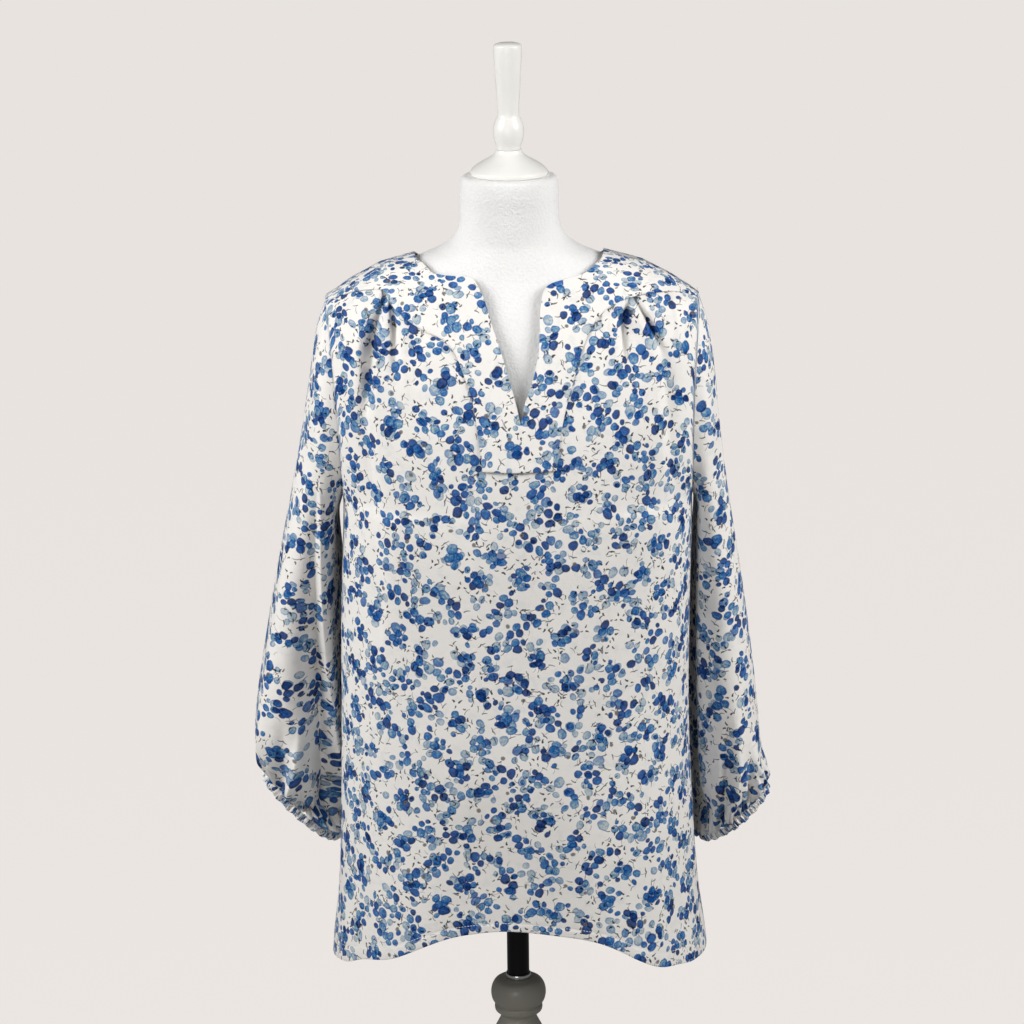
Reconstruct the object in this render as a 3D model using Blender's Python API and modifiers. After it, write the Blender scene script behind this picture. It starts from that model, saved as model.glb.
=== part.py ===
"""A long-sleeve blouse on a limbless dress form with a turned stand.

Metres, +Z up. The origin is on the floor, under the pole. The front of the
blouse faces -Y, and +X is on the right of someone who looks at the front.
Left and right in names are the viewer's left and right.
"""

import math

import bmesh
import bpy
import numpy as np

MM = 0.001

# Cloth
PANEL_WALL = 1.6 * MM
YOKE_WALL = 2.4 * MM
CUFF_WALL = 3.0 * MM
SEAM_GAP = 0.3 * MM
YOKE_SEAM_GAP = 0.8 * MM
RIDGE_GAP = 0.4 * MM
ARMHOLE_GAP = 2.0 * MM
CUFF_GAP = 1.5 * MM

# Heights that the cut is hung from
CHEST_Z = 1100 * MM
TIP_Z = 1277 * MM
UNDERARM_Z = 1072 * MM
LEFT_TIP_X = 187 * MM
RIGHT_TIP_X = 190 * MM
ARMHOLE_HALF_DEPTH = 60 * MM
ARMHOLE_BOW = 4 * MM
BOW_END = 1 / 6

# How square the body's level sections are, and how its edges close
BODY_SQUARENESS = 2.4
RIDGE_ROUNDING = 0.42
ARMHOLE_TURN = 0.45
RISE_POWER = 2.2
SLEEVE_SQUARENESS = 1.9

# Grid sizes
PANEL_ROWS = 17
YOKE_STEPS = 5
BACK_COLUMNS = 24
BACK_ROWS = 12
BACK_YOKE_ROWS = 5
SLEEVE_SIDES = 24
SLEEVE_STEPS = 14
CUFF_STEPS = 2
TORSO_SIDES = 28
TURNING_STEPS = 20

# Sleeve ends
CUFF_BAND = 12 * MM
GATHER_COUNT = 8
GATHER_HEIGHT = 4 * MM
GATHER_START = 0.80

# Stand
POLE_RADIUS = 11.7 * MM
POLE_BOTTOM_Z = 536 * MM
TORSO_BOTTOM_Z = 700 * MM
RING_RADIUS = 13.6 * MM
RING_HEIGHT = 6 * MM


def table(columns, rows):
    """Named columns of a table whose rows are in millimetres, in metres."""
    return {name: np.array(column) * MM for name, column in zip(columns.split(), zip(*rows))}


# Level sections of the body: half widths to the left and right, depths to the front and back
BODY = table("z left right front back", [
    (540, 199, 203, 128, 124),
    (590, 195, 199, 128, 122),
    (640, 189, 192, 127, 119),
    (740, 184, 185, 125, 114),
    (850, 181, 181, 124, 109),
    (960, 179, 182, 125, 105),
    (1072, 174, 184, 129, 101),
    (1120, 174, 182.5, 127, 102),
    (1160, 175.7, 182.7, 122, 102),
    (1200, 178.4, 184, 112, 100),
    (1250, 183.5, 187.5, 94, 91),
    (1277, 187, 190, 80, 81),
])

# The same depths above the shoulder tips, up to where front and back meet over the neck
TOP = table("z front back", [
    (1277, 80, 81),
    (1300, 68, 70),
    (1320, 53, 56),
    (1335, 38, 42),
    (1345, 22, 25),
    (1352, 0, 0),
])

# Shoulder line: height over the way out from the centre (190 is the shoulder tip)
RIDGE = table("x z", [
    (0, 1352),
    (50, 1340),
    (97, 1322),
    (133, 1312),
    (163, 1296),
    (190, 1277),
])

# Front yoke, a row for each station from the left shoulder round the neck to the right one:
# its outer seam, its neck edge, and where the front's thread from that seam point meets the hem
YOKE = table("seam_x seam_z neck_x neck_z hem_x", [
    (-187, 1277, -97, 1322, -194),
    (-180, 1280, -95, 1320, -193),
    (-169, 1285, -92, 1319, -188),
    (-152, 1291, -87, 1317, -179),
    (-127, 1294, -79, 1311, -167),
    (-118, 1282, -70, 1309, -155),
    (-106, 1271, -55, 1308, -142),
    (-87, 1260, -41, 1307, -129),
    (-67, 1251, -34, 1301, -116),
    (-55, 1238, -26, 1285, -103),
    (-47, 1219, -19, 1263, -90),
    (-40, 1200, -11, 1240, -77),
    (-35, 1174, -4, 1217, -63),
    (-32, 1150, 2, 1196, -48),
    (-29, 1125, 8, 1171, -32),
    (7, 1124, 8.6, 1169, 5),
    (43, 1125, 9.4, 1171, 42),
    (46, 1150, 13, 1188, 56),
    (50, 1172, 18, 1201, 69),
    (56, 1196, 24, 1219, 83),
    (63, 1218, 28, 1238, 96),
    (71, 1243, 29.5, 1258, 110),
    (82, 1264, 31, 1283, 123),
    (94, 1276, 38, 1299, 136),
    (109, 1283, 61, 1305, 149),
    (127, 1287, 73, 1308, 162),
    (151, 1288, 82, 1313, 176),
    (170, 1285, 88, 1317, 188),
    (182, 1280, 92, 1319, 197),
    (190, 1277, 95, 1323, 200),
])

# Hem heights, front and back
HEM = table("x front back", [
    (-200, 573, 571),
    (-165, 590, 569),
    (-133, 603, 566),
    (-100, 619, 563),
    (-60, 630, 561),
    (-30, 634, 560),
    (0, 633, 560),
    (35, 629, 560),
    (75, 622, 562),
    (105, 611, 564),
    (126, 600, 566),
    (150, 589, 568),
    (180, 581, 573),
    (205, 577, 577),
])

# Back neck edge below the shoulder line
BACK_NECK = table("x z", [
    (-97, 1322),
    (-90, 1314),
    (-80, 1309),
    (-50, 1303),
    (0, 1300),
    (50, 1303),
    (80, 1309),
    (89, 1314),
    (96, 1322),
])
BACK_YOKE_Z = 1205 * MM

# Soft folds: a line from start to end, the fold's half width, and how far it stands out
# (less than nothing is a trough) at its start and its end
FOLD_COLUMNS = "start_x start_z end_x end_z width start_rise end_rise"
FRONT_FOLDS = table(FOLD_COLUMNS, [
    (-105, 860, -122, 560, 34, 0, 15),
    (128, 880, 146, 560, 36, 0, 16),
    (-15, 800, 15, 560, 62, 0, -17),
    (-150, 1180, -128, 1288, 12, 2, 6),
    (-112, 1190, -124, 1284, 12, 1, 5),
    (152, 1200, 129, 1284, 12, 2, 6),
    (112, 1200, 124, 1280, 12, 1, 5),
    (-172, 1000, -165, 620, 16, 0, -7),
    (176, 1020, 172, 640, 16, 0, -7),
])
BACK_FOLDS = table(FOLD_COLUMNS, [
    (-60, 1180, -78, 560, 36, 3, 13),
    (52, 1180, 66, 560, 38, 3, 12),
    (-5, 1150, -8, 560, 30, -2, -9),
    (-138, 1050, -146, 560, 26, -2, -9),
    (132, 1060, 140, 560, 26, -2, -9),
])

# Sleeves, a row for each slanted section from the armhole to the cuff seam: the ends of the
# section at its outer and inner side, and its half depth; the inner end tucks in behind the body
SLEEVE_COLUMNS = "outer_x outer_z outer_y inner_x inner_z inner_y half_depth"
LEFT_SLEEVE = table(SLEEVE_COLUMNS, [
    (-187, 1277, 0, -174, 1072, 0, 60),
    (-198, 1243, 2, -179, 1052, 14, 65),
    (-206, 1195, 7, -180, 1026, 30, 68),
    (-216, 1136, 14, -178, 988, 44, 68),
    (-231, 1060, 20, -177, 940, 54, 68),
    (-247, 985, 25, -177, 892, 58, 69),
    (-260, 913, 28, -177, 842, 60, 71),
    (-271, 845, 30, -178, 786, 60, 73),
    (-274, 803, 32, -180, 742, 59, 72),
    (-271, 778, 34, -183, 706, 56, 61),
    (-262, 763, 36, -184, 684, 48, 41),
])
RIGHT_SLEEVE = table(SLEEVE_COLUMNS, [
    (190, 1277, 0, 184, 1072, 0, 60),
    (201, 1243, 2, 188, 1052, 14, 65),
    (207, 1195, 7, 187, 1026, 30, 68),
    (213, 1136, 14, 185, 988, 46, 68),
    (223, 1060, 20, 183, 940, 56, 68),
    (235, 985, 25, 181, 892, 60, 69),
    (245, 913, 28, 181, 842, 62, 70),
    (253, 845, 30, 183, 784, 62, 71),
    (257, 794, 32, 186, 736, 61, 71),
    (262, 760, 34, 189, 702, 57, 60),
    (258, 742, 36, 191, 681, 49, 41),
])

# The form's level sections
TORSO = table("z half front back", [
    (700, 140, 92, 84),
    (712, 152, 104, 94),
    (780, 159, 111, 98),
    (850, 148, 104, 92),
    (915, 138, 99, 87),
    (1000, 150, 111, 91),
    (1070, 163, 121, 94),
    (1120, 165, 120, 95),
    (1170, 166, 112, 94),
    (1220, 167, 97, 89),
    (1250, 168, 86, 84),
    (1271, 163, 76, 76),
    (1288, 148, 66, 68),
    (1301, 127, 59, 62),
    (1312, 102, 54, 57),
    (1318.5, 84, 51, 54),
    (1325, 71, 50, 52),
    (1333, 61, 49, 51),
    (1346, 52.5, 49, 50),
    (1366, 50, 49, 49),
    (1392, 49.5, 49.5, 49.5),
    (1398, 48, 48, 48),
    (1400, 45, 45, 45),
])
TORSO_SQUARENESS = 2.5

# Turned outlines, as radius and height, each from its top down
CAP_OUTLINE = table("r z", [
    (12.5, 1426), (15, 1421.5), (21, 1417.5), (29, 1413), (35.5, 1408.5), (39, 1404.5),
    (39, 1401.5), (38, 1400.3),
])
FINIAL_OUTLINE = table("r z", [
    (9, 1533), (13, 1531.5), (14.3, 1528), (13.6, 1510), (11.6, 1480), (10.8, 1462),
    (12.4, 1457), (15, 1450), (15.5, 1443), (14.5, 1436), (12.5, 1430), (12, 1426.3),
])
POST_OUTLINE = table("r z", [
    (21, 535.7), (25, 533), (28.2, 527), (29.2, 520), (28, 513), (25.4, 508.5), (24, 507),
    (25.4, 505), (24.6, 500), (20, 496), (19.2, 492), (22, 486), (26.5, 476), (31, 455),
    (32.5, 430), (30, 390), (25, 330), (20.5, 270), (18, 215), (18, 190), (22, 186),
    (25, 180), (22, 174), (18.5, 170), (20, 140), (27, 105), (38, 75), (50, 52), (54, 42),
    (54, 30.3),
])
BASE_OUTLINE = table("r z", [
    (60, 30), (64, 27), (120, 24), (150, 21), (156, 18), (166, 17), (173, 13), (175, 8),
    (175, 2), (173, 0),
])

# Finishes: colour, roughness, metallic
FINISHES = {
    "berry_print_slub_cloth": ((0.72, 0.78, 0.86), 0.85, 0.0),
    "white_jersey_cover": ((0.90, 0.90, 0.89), 0.9, 0.0),
    "cream_white_lacquer": ((0.90, 0.89, 0.86), 0.35, 0.0),
    "black_metal": ((0.015, 0.015, 0.016), 0.35, 0.8),
    "bright_steel": ((0.60, 0.60, 0.60), 0.25, 1.0),
    "grey_beige_satin_paint": ((0.38, 0.36, 0.30), 0.45, 0.0),
}


def flow(knots, values, where):
    """A smooth curve through knots and values, read where asked (cubic between knots)."""
    slopes = np.gradient(values, knots)
    low = np.clip(np.searchsorted(knots, where) - 1, 0, len(knots) - 2)
    span = knots[low + 1] - knots[low]
    t = np.clip((where - knots[low]) / span, 0.0, 1.0)
    start = (2 * t**3 - 3 * t**2 + 1) * values[low] + (t**3 - 2 * t**2 + t) * slopes[low] * span
    end = (3 * t**2 - 2 * t**3) * values[low + 1] + (t**3 - t**2) * slopes[low + 1] * span
    return start + end


def tip_x(x):
    """The shoulder tip's distance from the centre on the side that x is on."""
    return np.where(x > 0, RIGHT_TIP_X, LEFT_TIP_X)


def ridge_z(x):
    """Height of the shoulder line."""
    return np.interp(np.abs(x) / tip_x(x), RIDGE["x"] / RIDGE["x"][-1], RIDGE["z"])


def side_x(x, z):
    """Half width of the body at a height, up the side seam, the armhole and the shoulder."""
    body = np.where(x > 0, flow(BODY["z"], BODY["right"], z), flow(BODY["z"], BODY["left"], z))
    fraction = np.interp(z, RIDGE["z"][::-1], RIDGE["x"][::-1] / RIDGE["x"][-1])
    return np.where(z > TIP_Z, np.maximum(fraction * tip_x(x), MM), body)


def armhole_depth(z):
    """Half depth of the armhole's oval at a height; nothing above and below it."""
    middle = (TIP_Z + UNDERARM_Z) / 2
    reach = np.clip(np.abs(z - middle) / (TIP_Z - middle), 0.0, 1.0)
    return ARMHOLE_HALF_DEPTH * (1 - reach**RISE_POWER)**(1 / RISE_POWER)


def fold_rise(folds, x, z):
    """Sum of the soft folds: each falls off as a bell with the distance from its line."""
    total = np.zeros_like(x)
    for k in range(len(folds["width"])):
        along_x = folds["end_x"][k] - folds["start_x"][k]
        along_z = folds["end_z"][k] - folds["start_z"][k]
        offset_x = x - folds["start_x"][k]
        offset_z = z - folds["start_z"][k]
        t = (offset_x * along_x + offset_z * along_z) / (along_x**2 + along_z**2)
        t = np.clip(t, 0.0, 1.0)
        away = np.hypot(offset_x - t * along_x, offset_z - t * along_z) / folds["width"][k]
        rise = folds["start_rise"][k] + t * (folds["end_rise"][k] - folds["start_rise"][k])
        total += rise * np.exp(-away**2)
    return total


def body_points(x, z, face):
    """Points of the hung cloth at x and z, on the front (face -1) or the back (face 1).

    A level section is a squared oval from the centre's depth to nothing at the side seam, or
    to the armhole's half depth between the underarm and the shoulder tip.
    """
    side = side_x(x, z)
    name, folds = ("front", FRONT_FOLDS) if face < 0 else ("back", BACK_FOLDS)
    centre = np.where(z > TIP_Z, flow(TOP["z"], TOP[name], z), flow(BODY["z"], BODY[name], z))
    edge = armhole_depth(z)
    power = RIDGE_ROUNDING + ARMHOLE_TURN * edge / ARMHOLE_HALF_DEPTH
    reach = np.clip(np.abs(x) / side, 0.0, 1.0)
    oval = (1 - reach**BODY_SQUARENESS)**power
    depth = edge + (centre - edge) * oval + fold_rise(folds, x, z) * np.minimum(1, 3 * oval)
    return np.stack([x, face * depth, z], axis=-1)


def rise_of(x, z):
    """Height as a share that runs evenly over the shoulder: 0 at the chest, 1 on the ridge."""
    return 1 - np.maximum(1 - (z - CHEST_Z) / (ridge_z(x) - CHEST_Z), 0)**(1 / RISE_POWER)


def height_of(x, rise):
    """The height that a rise stands for."""
    return CHEST_Z + (1 - np.maximum(1 - rise, 0)**RISE_POWER) * (ridge_z(x) - CHEST_Z)


def mix(start, end, share):
    """Straight blend."""
    return start + (end - start) * share


def strip(low_x, low_z, high_x, high_z, shares):
    """x and z between two edge curves, blended along x and rise, a row for each share."""
    share = shares[:, None]
    low_rise, high_rise = rise_of(low_x, low_z), rise_of(high_x, high_z)
    x = mix(low_x, high_x, share)
    z = height_of(x, mix(low_rise, high_rise, share))
    return x, z


def fit_sides(x, z):
    """Bend a panel's outer threads onto the side seams and armholes."""
    for column, sign in ((0, -1.0), (-1, 1.0)):
        edge = sign * side_x(np.full(len(z), sign), z[:, column])
        near = np.clip(np.abs(x) / np.abs(x[:, column:column + 1 or None]), 0, 1)**4
        x = x + (edge - x[:, column])[:, None] * near * (x * sign > 0)
    return x


def front_grid():
    """The front, from the hem up to the yoke seam, a thread for each row of the yoke table."""
    low_z = flow(HEM["x"], HEM["front"], YOKE["hem_x"])
    along_x, along_z = np.gradient(YOKE["seam_x"]), np.gradient(YOKE["seam_z"])
    length = np.hypot(along_x, along_z)
    high_x = YOKE["seam_x"] + YOKE_SEAM_GAP * along_z / length
    high_z = YOKE["seam_z"] - YOKE_SEAM_GAP * along_x / length
    x, z = strip(YOKE["hem_x"], low_z, high_x, high_z, np.linspace(0, 1, PANEL_ROWS + 1))
    points = body_points(fit_sides(x, z), z, -1)
    points[:, [0, -1], 1] = np.minimum(points[:, [0, -1], 1], -SEAM_GAP)
    return points


def front_yoke_grid():
    """The front yoke, from its outer seam to the neck edge."""
    shares = np.linspace(0, 1, YOKE_STEPS + 1)
    x, z = strip(YOKE["seam_x"], YOKE["seam_z"], YOKE["neck_x"], YOKE["neck_z"], shares)
    points = body_points(x, z, -1)
    points[:, [0, -1], 1] = np.minimum(points[:, [0, -1], 1], -RIDGE_GAP)
    return points


def across(count):
    """Shares from -1 to 1 across a panel, closer together towards its sides."""
    angle = np.linspace(-1, 1, count + 1) * math.pi / 2
    return np.sign(angle) * np.abs(np.sin(angle))**(2 / BODY_SQUARENESS)


def back_seam():
    """The seam between the back and its yoke."""
    share = across(BACK_COLUMNS)
    z = np.full_like(share, BACK_YOKE_Z)
    return share * side_x(share, z), z


def back_grid():
    """The back, from the hem up to its yoke."""
    share = across(BACK_COLUMNS)
    left_hem_x = -YOKE["hem_x"][0]
    low_x = share * np.where(share > 0, left_hem_x + RIGHT_TIP_X - LEFT_TIP_X, left_hem_x)
    low_z = flow(HEM["x"], HEM["back"], low_x)
    high_x, high_z = back_seam()
    shares = np.linspace(0, 1, BACK_ROWS + 1)
    x, z = strip(low_x, low_z, high_x, high_z - 2 * SEAM_GAP, shares)
    points = body_points(fit_sides(x, z), z, 1)
    points[:, [0, -1], 1] = np.maximum(points[:, [0, -1], 1], SEAM_GAP)
    return points


def back_yoke_grid():
    """The back yoke, from its seam to the shoulder line and the back neck edge."""
    low_x, low_z = back_seam()
    share = across(BACK_COLUMNS)
    high_x = share * tip_x(share)
    inside = (high_x > BACK_NECK["x"][0]) & (high_x < BACK_NECK["x"][-1])
    high_z = np.where(inside, flow(BACK_NECK["x"], BACK_NECK["z"], high_x), ridge_z(high_x))
    x, z = strip(low_x, low_z, high_x, high_z, np.linspace(0, 1, BACK_YOKE_ROWS + 1))
    points = body_points(x, z, 1)
    points[..., 1] = np.maximum(points[..., 1], RIDGE_GAP)
    return points


def sleeve_grid(rows, steps, sides):
    """A sleeve: a fan of slanted ovals from the armhole to the cuff seam, gathered at the end."""
    knots = np.linspace(0, 1, len(rows["half_depth"]))
    t = np.linspace(0, 1, steps + 1)
    section = {name: flow(knots, values, t)[:, None] for name, values in rows.items()}
    turn = np.arange(sides) * 2 * math.pi / sides
    power = 2 / mix(RISE_POWER, SLEEVE_SQUARENESS, t**0.5)[:, None]
    out = np.sign(np.cos(turn)) * np.abs(np.cos(turn))**power
    side = np.sign(np.sin(turn)) * np.abs(np.sin(turn))**power
    swell = np.clip((t - GATHER_START) / (1 - GATHER_START), 0, 1)[:, None]
    swell = GATHER_HEIGHT * np.sin(swell * math.pi * 0.75) * np.cos(GATHER_COUNT * turn)
    grow = 1 + swell / section["half_depth"]
    share = 0.5 + 0.5 * out * grow
    x = mix(section["inner_x"], section["outer_x"], share)
    z = mix(section["inner_z"], section["outer_z"], share)
    y = mix(section["inner_y"], section["outer_y"], share) + section["half_depth"] * side * grow
    way_out = math.copysign(1, rows["outer_x"][0])
    x[0] += way_out * ARMHOLE_GAP
    fade = np.clip(1 - t / BOW_END, 0, 1)[:, None]
    x -= way_out * ARMHOLE_BOW * fade * 4 * share * (1 - share)
    return np.stack([x, y, z], axis=-1)


def cuff_grid(rows):
    """The cuff: the sleeve's last section carried on along the sleeve's own way."""
    seam = sleeve_grid(rows, 1, SLEEVE_SIDES)[-1]
    chord_x = rows["inner_x"][-1] - rows["outer_x"][-1]
    chord_z = rows["inner_z"][-1] - rows["outer_z"][-1]
    away = np.array([abs(chord_z) * math.copysign(1, -chord_x), 0, -abs(chord_x)])
    away /= np.linalg.norm(away)
    travel = CUFF_GAP + np.linspace(0, CUFF_BAND, CUFF_STEPS + 1)
    return seam[None] + travel[:, None, None] * away


def torso_grid():
    """The form's rings from the hip plate to the top of the neck."""
    turn = np.arange(TORSO_SIDES) * 2 * math.pi / TORSO_SIDES
    squareness = np.interp(TORSO["z"], [1.300, 1.346], [TORSO_SQUARENESS, 2.0])[:, None]
    out = np.sign(np.cos(turn)) * np.abs(np.cos(turn))**(2 / squareness)
    side = np.sign(np.sin(turn)) * np.abs(np.sin(turn))**(2 / squareness)
    depth = np.where(side < 0, TORSO["front"][:, None], TORSO["back"][:, None])
    z = np.broadcast_to(TORSO["z"][:, None], out.shape)
    return np.stack([TORSO["half"][:, None] * out, depth * side, z], axis=-1)


def grid_faces(rows, columns, wrap):
    """Quads of a grid of points, closed round where it wraps."""
    last = columns if wrap else columns - 1
    faces = []
    for row in range(rows - 1):
        for column in range(last):
            right = (column + 1) % columns
            low, high = row * columns, (row + 1) * columns
            faces.append((low + column, low + right, high + right, high + column))
    return faces


def finish(name):
    """The material of one of the named finishes."""
    material = bpy.data.materials.get(name)
    if material is None:
        colour, roughness, metallic = FINISHES[name]
        material = bpy.data.materials.new(name)
        material.use_nodes = True
        shader = material.node_tree.nodes["Principled BSDF"]
        shader.inputs["Base Color"].default_value = (*colour, 1)
        shader.inputs["Roughness"].default_value = roughness
        shader.inputs["Metallic"].default_value = metallic
    return material


def add_object(name, mesh, finish_name):
    """An object in the blouse's collection."""
    mesh.materials.append(finish(finish_name))
    piece = bpy.data.objects.new(name, mesh)
    blouse_collection.objects.link(piece)
    return piece


def add_grid(name, points, finish_name, wrap=False, capped=False):
    """A mesh through a grid of points, with its ends closed where it is capped."""
    rows, columns = points.shape[:2]
    faces = grid_faces(rows, columns, wrap)
    if capped:
        faces.append(tuple(reversed(range(columns))))
        faces.append(tuple(range((rows - 1) * columns, rows * columns)))
    mesh = bpy.data.meshes.new(name)
    mesh.from_pydata(points.reshape(-1, 3).tolist(), [], faces)
    return add_object(name, mesh, finish_name)


def face_outwards(piece, inside):
    """Turn every face so that it looks away from a point inside the form."""
    sheet = bmesh.new()
    sheet.from_mesh(piece.data)
    sheet.normal_update()
    towards = sum((face.normal.dot(face.calc_center_median() - inside(face)) * face.calc_area()
                   for face in sheet.faces), 0.0)
    if towards < 0:
        bmesh.ops.reverse_faces(sheet, faces=sheet.faces)
    sheet.to_mesh(piece.data)
    sheet.free()


def add_cloth(name, points, wall, wrap=False):
    """A cloth piece: its outer face through the points, its wall inside it."""
    piece = add_grid(name, points, "berry_print_slub_cloth", wrap)
    def inside(face):
        centre = face.calc_center_median()
        if wrap:
            ring = points[np.argmin(np.abs(points[:, :, 2].mean(axis=1) - centre.z))]
            return centre.__class__(ring.mean(axis=0))
        return centre.__class__((0, 0, min(centre.z, CHEST_Z)))

    face_outwards(piece, inside)
    solidify = piece.modifiers.new("wall", "SOLIDIFY")
    solidify.thickness = wall
    solidify.offset = -1
    return piece


def add_swung(name, outline, edges, finish_name):
    """An outline of radii and heights, swung round the upright axis."""
    mesh = bpy.data.meshes.new(name)
    mesh.from_pydata([(radius, 0, height) for radius, height in outline], edges, [])
    piece = add_object(name, mesh, finish_name)
    screw = piece.modifiers.new("turning", "SCREW")
    screw.steps = TURNING_STEPS
    screw.render_steps = TURNING_STEPS
    screw.use_merge_vertices = True
    screw.merge_threshold = 0.1 * MM
    return piece


def add_turned(name, outline, finish_name):
    """A turned piece from its outline, which runs from its top down and starts off the axis."""
    radii = [0.0, *outline["r"], 0.0]
    heights = [outline["z"][0], *outline["z"], outline["z"][-1]]
    edges = [(k, k + 1) for k in range(len(radii) - 1)]
    return add_swung(name, list(zip(radii, heights)), edges, finish_name)


def add_cylinder(name, radius, low, high, finish_name):
    """A plain round bar between two heights."""
    mesh = bpy.data.meshes.new(name)
    bar = bmesh.new()
    bmesh.ops.create_cone(bar, cap_ends=True, segments=TURNING_STEPS, radius1=radius,
                          radius2=radius, depth=high - low)
    bar.to_mesh(mesh)
    bar.free()
    piece = add_object(name, mesh, finish_name)
    piece.location.z = (low + high) / 2
    return piece


def add_ring(name, inner, outer, low, height, finish_name):
    """A flat ring with softened edges round the pole."""
    soft = height / 6
    rim = [(inner, low), (outer - soft, low), (outer, low + soft), (outer, low + height - soft),
           (outer - soft, low + height), (inner, low + height)]
    edges = [(k, (k + 1) % len(rim)) for k in range(len(rim))]
    return add_swung(name, rim[::-1], edges, finish_name)


for old in list(bpy.data.objects):
    bpy.data.objects.remove(old, do_unlink=True)
blouse_collection = bpy.data.collections.new("blouse_on_dress_form")
bpy.context.scene.collection.children.link(blouse_collection)

add_cloth("front", front_grid(), PANEL_WALL)
add_cloth("front_yoke", front_yoke_grid(), YOKE_WALL)
add_cloth("back", back_grid(), PANEL_WALL)
add_cloth("back_yoke", back_yoke_grid(), YOKE_WALL)
for side_name, sleeve_rows in (("left", LEFT_SLEEVE), ("right", RIGHT_SLEEVE)):
    sleeve_points = sleeve_grid(sleeve_rows, SLEEVE_STEPS, SLEEVE_SIDES)
    add_cloth("sleeve_" + side_name, sleeve_points, PANEL_WALL, wrap=True)
    add_cloth("cuff_" + side_name, cuff_grid(sleeve_rows), CUFF_WALL, wrap=True)

add_grid("form_torso", torso_grid(), "white_jersey_cover", wrap=True, capped=True)
add_turned("neck_cap", CAP_OUTLINE, "cream_white_lacquer")
add_turned("finial", FINIAL_OUTLINE, "cream_white_lacquer")
add_cylinder("pole", POLE_RADIUS, POLE_BOTTOM_Z, TORSO_BOTTOM_Z - SEAM_GAP, "black_metal")
add_ring("pole_ring", POLE_RADIUS + SEAM_GAP, RING_RADIUS, POLE_BOTTOM_Z, RING_HEIGHT, "bright_steel")
add_turned("stand_post", POST_OUTLINE, "grey_beige_satin_paint")
add_turned("stand_base", BASE_OUTLINE, "grey_beige_satin_paint")
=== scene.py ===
# %% [markdown]
# A printed blouse on a dress form
#
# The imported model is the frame: every piece below is worked out in its metres, with the floor at
# height 0, the pole on the upright axis and the front facing -Y. The model's cloth is a coarse
# solid that is right in size and place. Here each of its pieces gets a fine surface, with the
# folds, seams and print that the eye looks for.

# %% Load the frame
import math

import bpy
import numpy as np
from mathutils import Matrix, Vector


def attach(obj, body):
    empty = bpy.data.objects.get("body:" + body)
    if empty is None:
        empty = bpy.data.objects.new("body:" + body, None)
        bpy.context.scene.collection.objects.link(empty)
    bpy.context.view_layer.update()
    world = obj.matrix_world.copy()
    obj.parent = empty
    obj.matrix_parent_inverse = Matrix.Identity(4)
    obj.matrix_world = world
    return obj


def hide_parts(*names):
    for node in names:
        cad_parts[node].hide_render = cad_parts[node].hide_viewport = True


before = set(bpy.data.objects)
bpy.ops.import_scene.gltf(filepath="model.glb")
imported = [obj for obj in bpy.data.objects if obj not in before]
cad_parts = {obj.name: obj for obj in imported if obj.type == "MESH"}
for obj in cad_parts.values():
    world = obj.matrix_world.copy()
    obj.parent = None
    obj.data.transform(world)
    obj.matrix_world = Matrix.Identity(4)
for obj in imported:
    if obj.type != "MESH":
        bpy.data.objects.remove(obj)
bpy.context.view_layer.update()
print("frame:", sorted(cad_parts))

# %% [markdown]
# The camera stands in front of the form and a little above the shoulders, and looks down at it.
# A long lens keeps the blouse nearly free of perspective, as in a shop's picture. Both the tilt
# and the small roll are real angles, so the picture's frame needs no shift.

# %% Camera
MM = 0.001
PITCH = math.radians(15)
ROLL = math.radians(0.67)
AIM = np.array([-0.001, 0.0, 1.049])
REACH = 3.809


def add_camera():
    """A camera that looks at AIM from REACH away, pitched down and rolled clockwise."""
    forward = np.array([0.0, math.cos(PITCH), -math.sin(PITCH)])
    level_up = np.array([0.0, math.sin(PITCH), math.cos(PITCH)])
    level_right = np.array([1.0, 0.0, 0.0])
    up = level_up * math.cos(ROLL) + level_right * math.sin(ROLL)
    right = level_right * math.cos(ROLL) - level_up * math.sin(ROLL)
    lens = bpy.data.cameras.new("camera")
    lens.lens = 130
    lens.sensor_width = 36
    camera = bpy.data.objects.new("camera", lens)
    turn = np.eye(4)
    turn[:3, 0] = right
    turn[:3, 1] = up
    turn[:3, 2] = -forward
    turn[:3, 3] = AIM - forward * REACH
    camera.matrix_world = Matrix(turn.tolist())
    bpy.context.scene.collection.objects.link(camera)
    bpy.context.scene.camera = camera
    return camera


camera = add_camera()
print("camera at", [round(value, 3) for value in camera.matrix_world.translation])

# %% [markdown]
# Shader maths reads best as plain sums. A small class wraps a socket, and its operators add the
# Math nodes, so `1 - mask` works on links as it does on numbers. All other nodes come from one
# method that takes a node's type, its settings and what goes into its sockets.

# %% Sums of sockets
class Value:
    """A socket that can stand in a sum; each operator adds one Math node."""

    def __init__(self, nodes, socket):
        self.nodes = nodes
        self.socket = socket

    def maths(self, operation, *others, first=None):
        terms = ([] if first is None else [first]) + [self, *others]
        return self.nodes.add("ShaderNodeMath", {"operation": operation}, dict(enumerate(terms)))

    def __add__(self, other):
        return self.maths("ADD", other)

    def __sub__(self, other):
        return self.maths("SUBTRACT", other)

    def __rsub__(self, other):
        return self.maths("SUBTRACT", first=other)

    def __mul__(self, other):
        return self.maths("MULTIPLY", other)

    def __truediv__(self, other):
        return self.maths("DIVIDE", other)

    def __rtruediv__(self, other):
        return self.maths("DIVIDE", first=other)

    def root(self):
        return self.maths("SQRT")

    def most(self, other):
        return self.maths("MAXIMUM", other)

    def fraction(self):
        return self.maths("FRACT")

    def clamped(self):
        limited = self.maths("ADD", 0.0)
        limited.socket.node.use_clamp = True
        return limited

    __radd__ = __add__
    __rmul__ = __mul__


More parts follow.
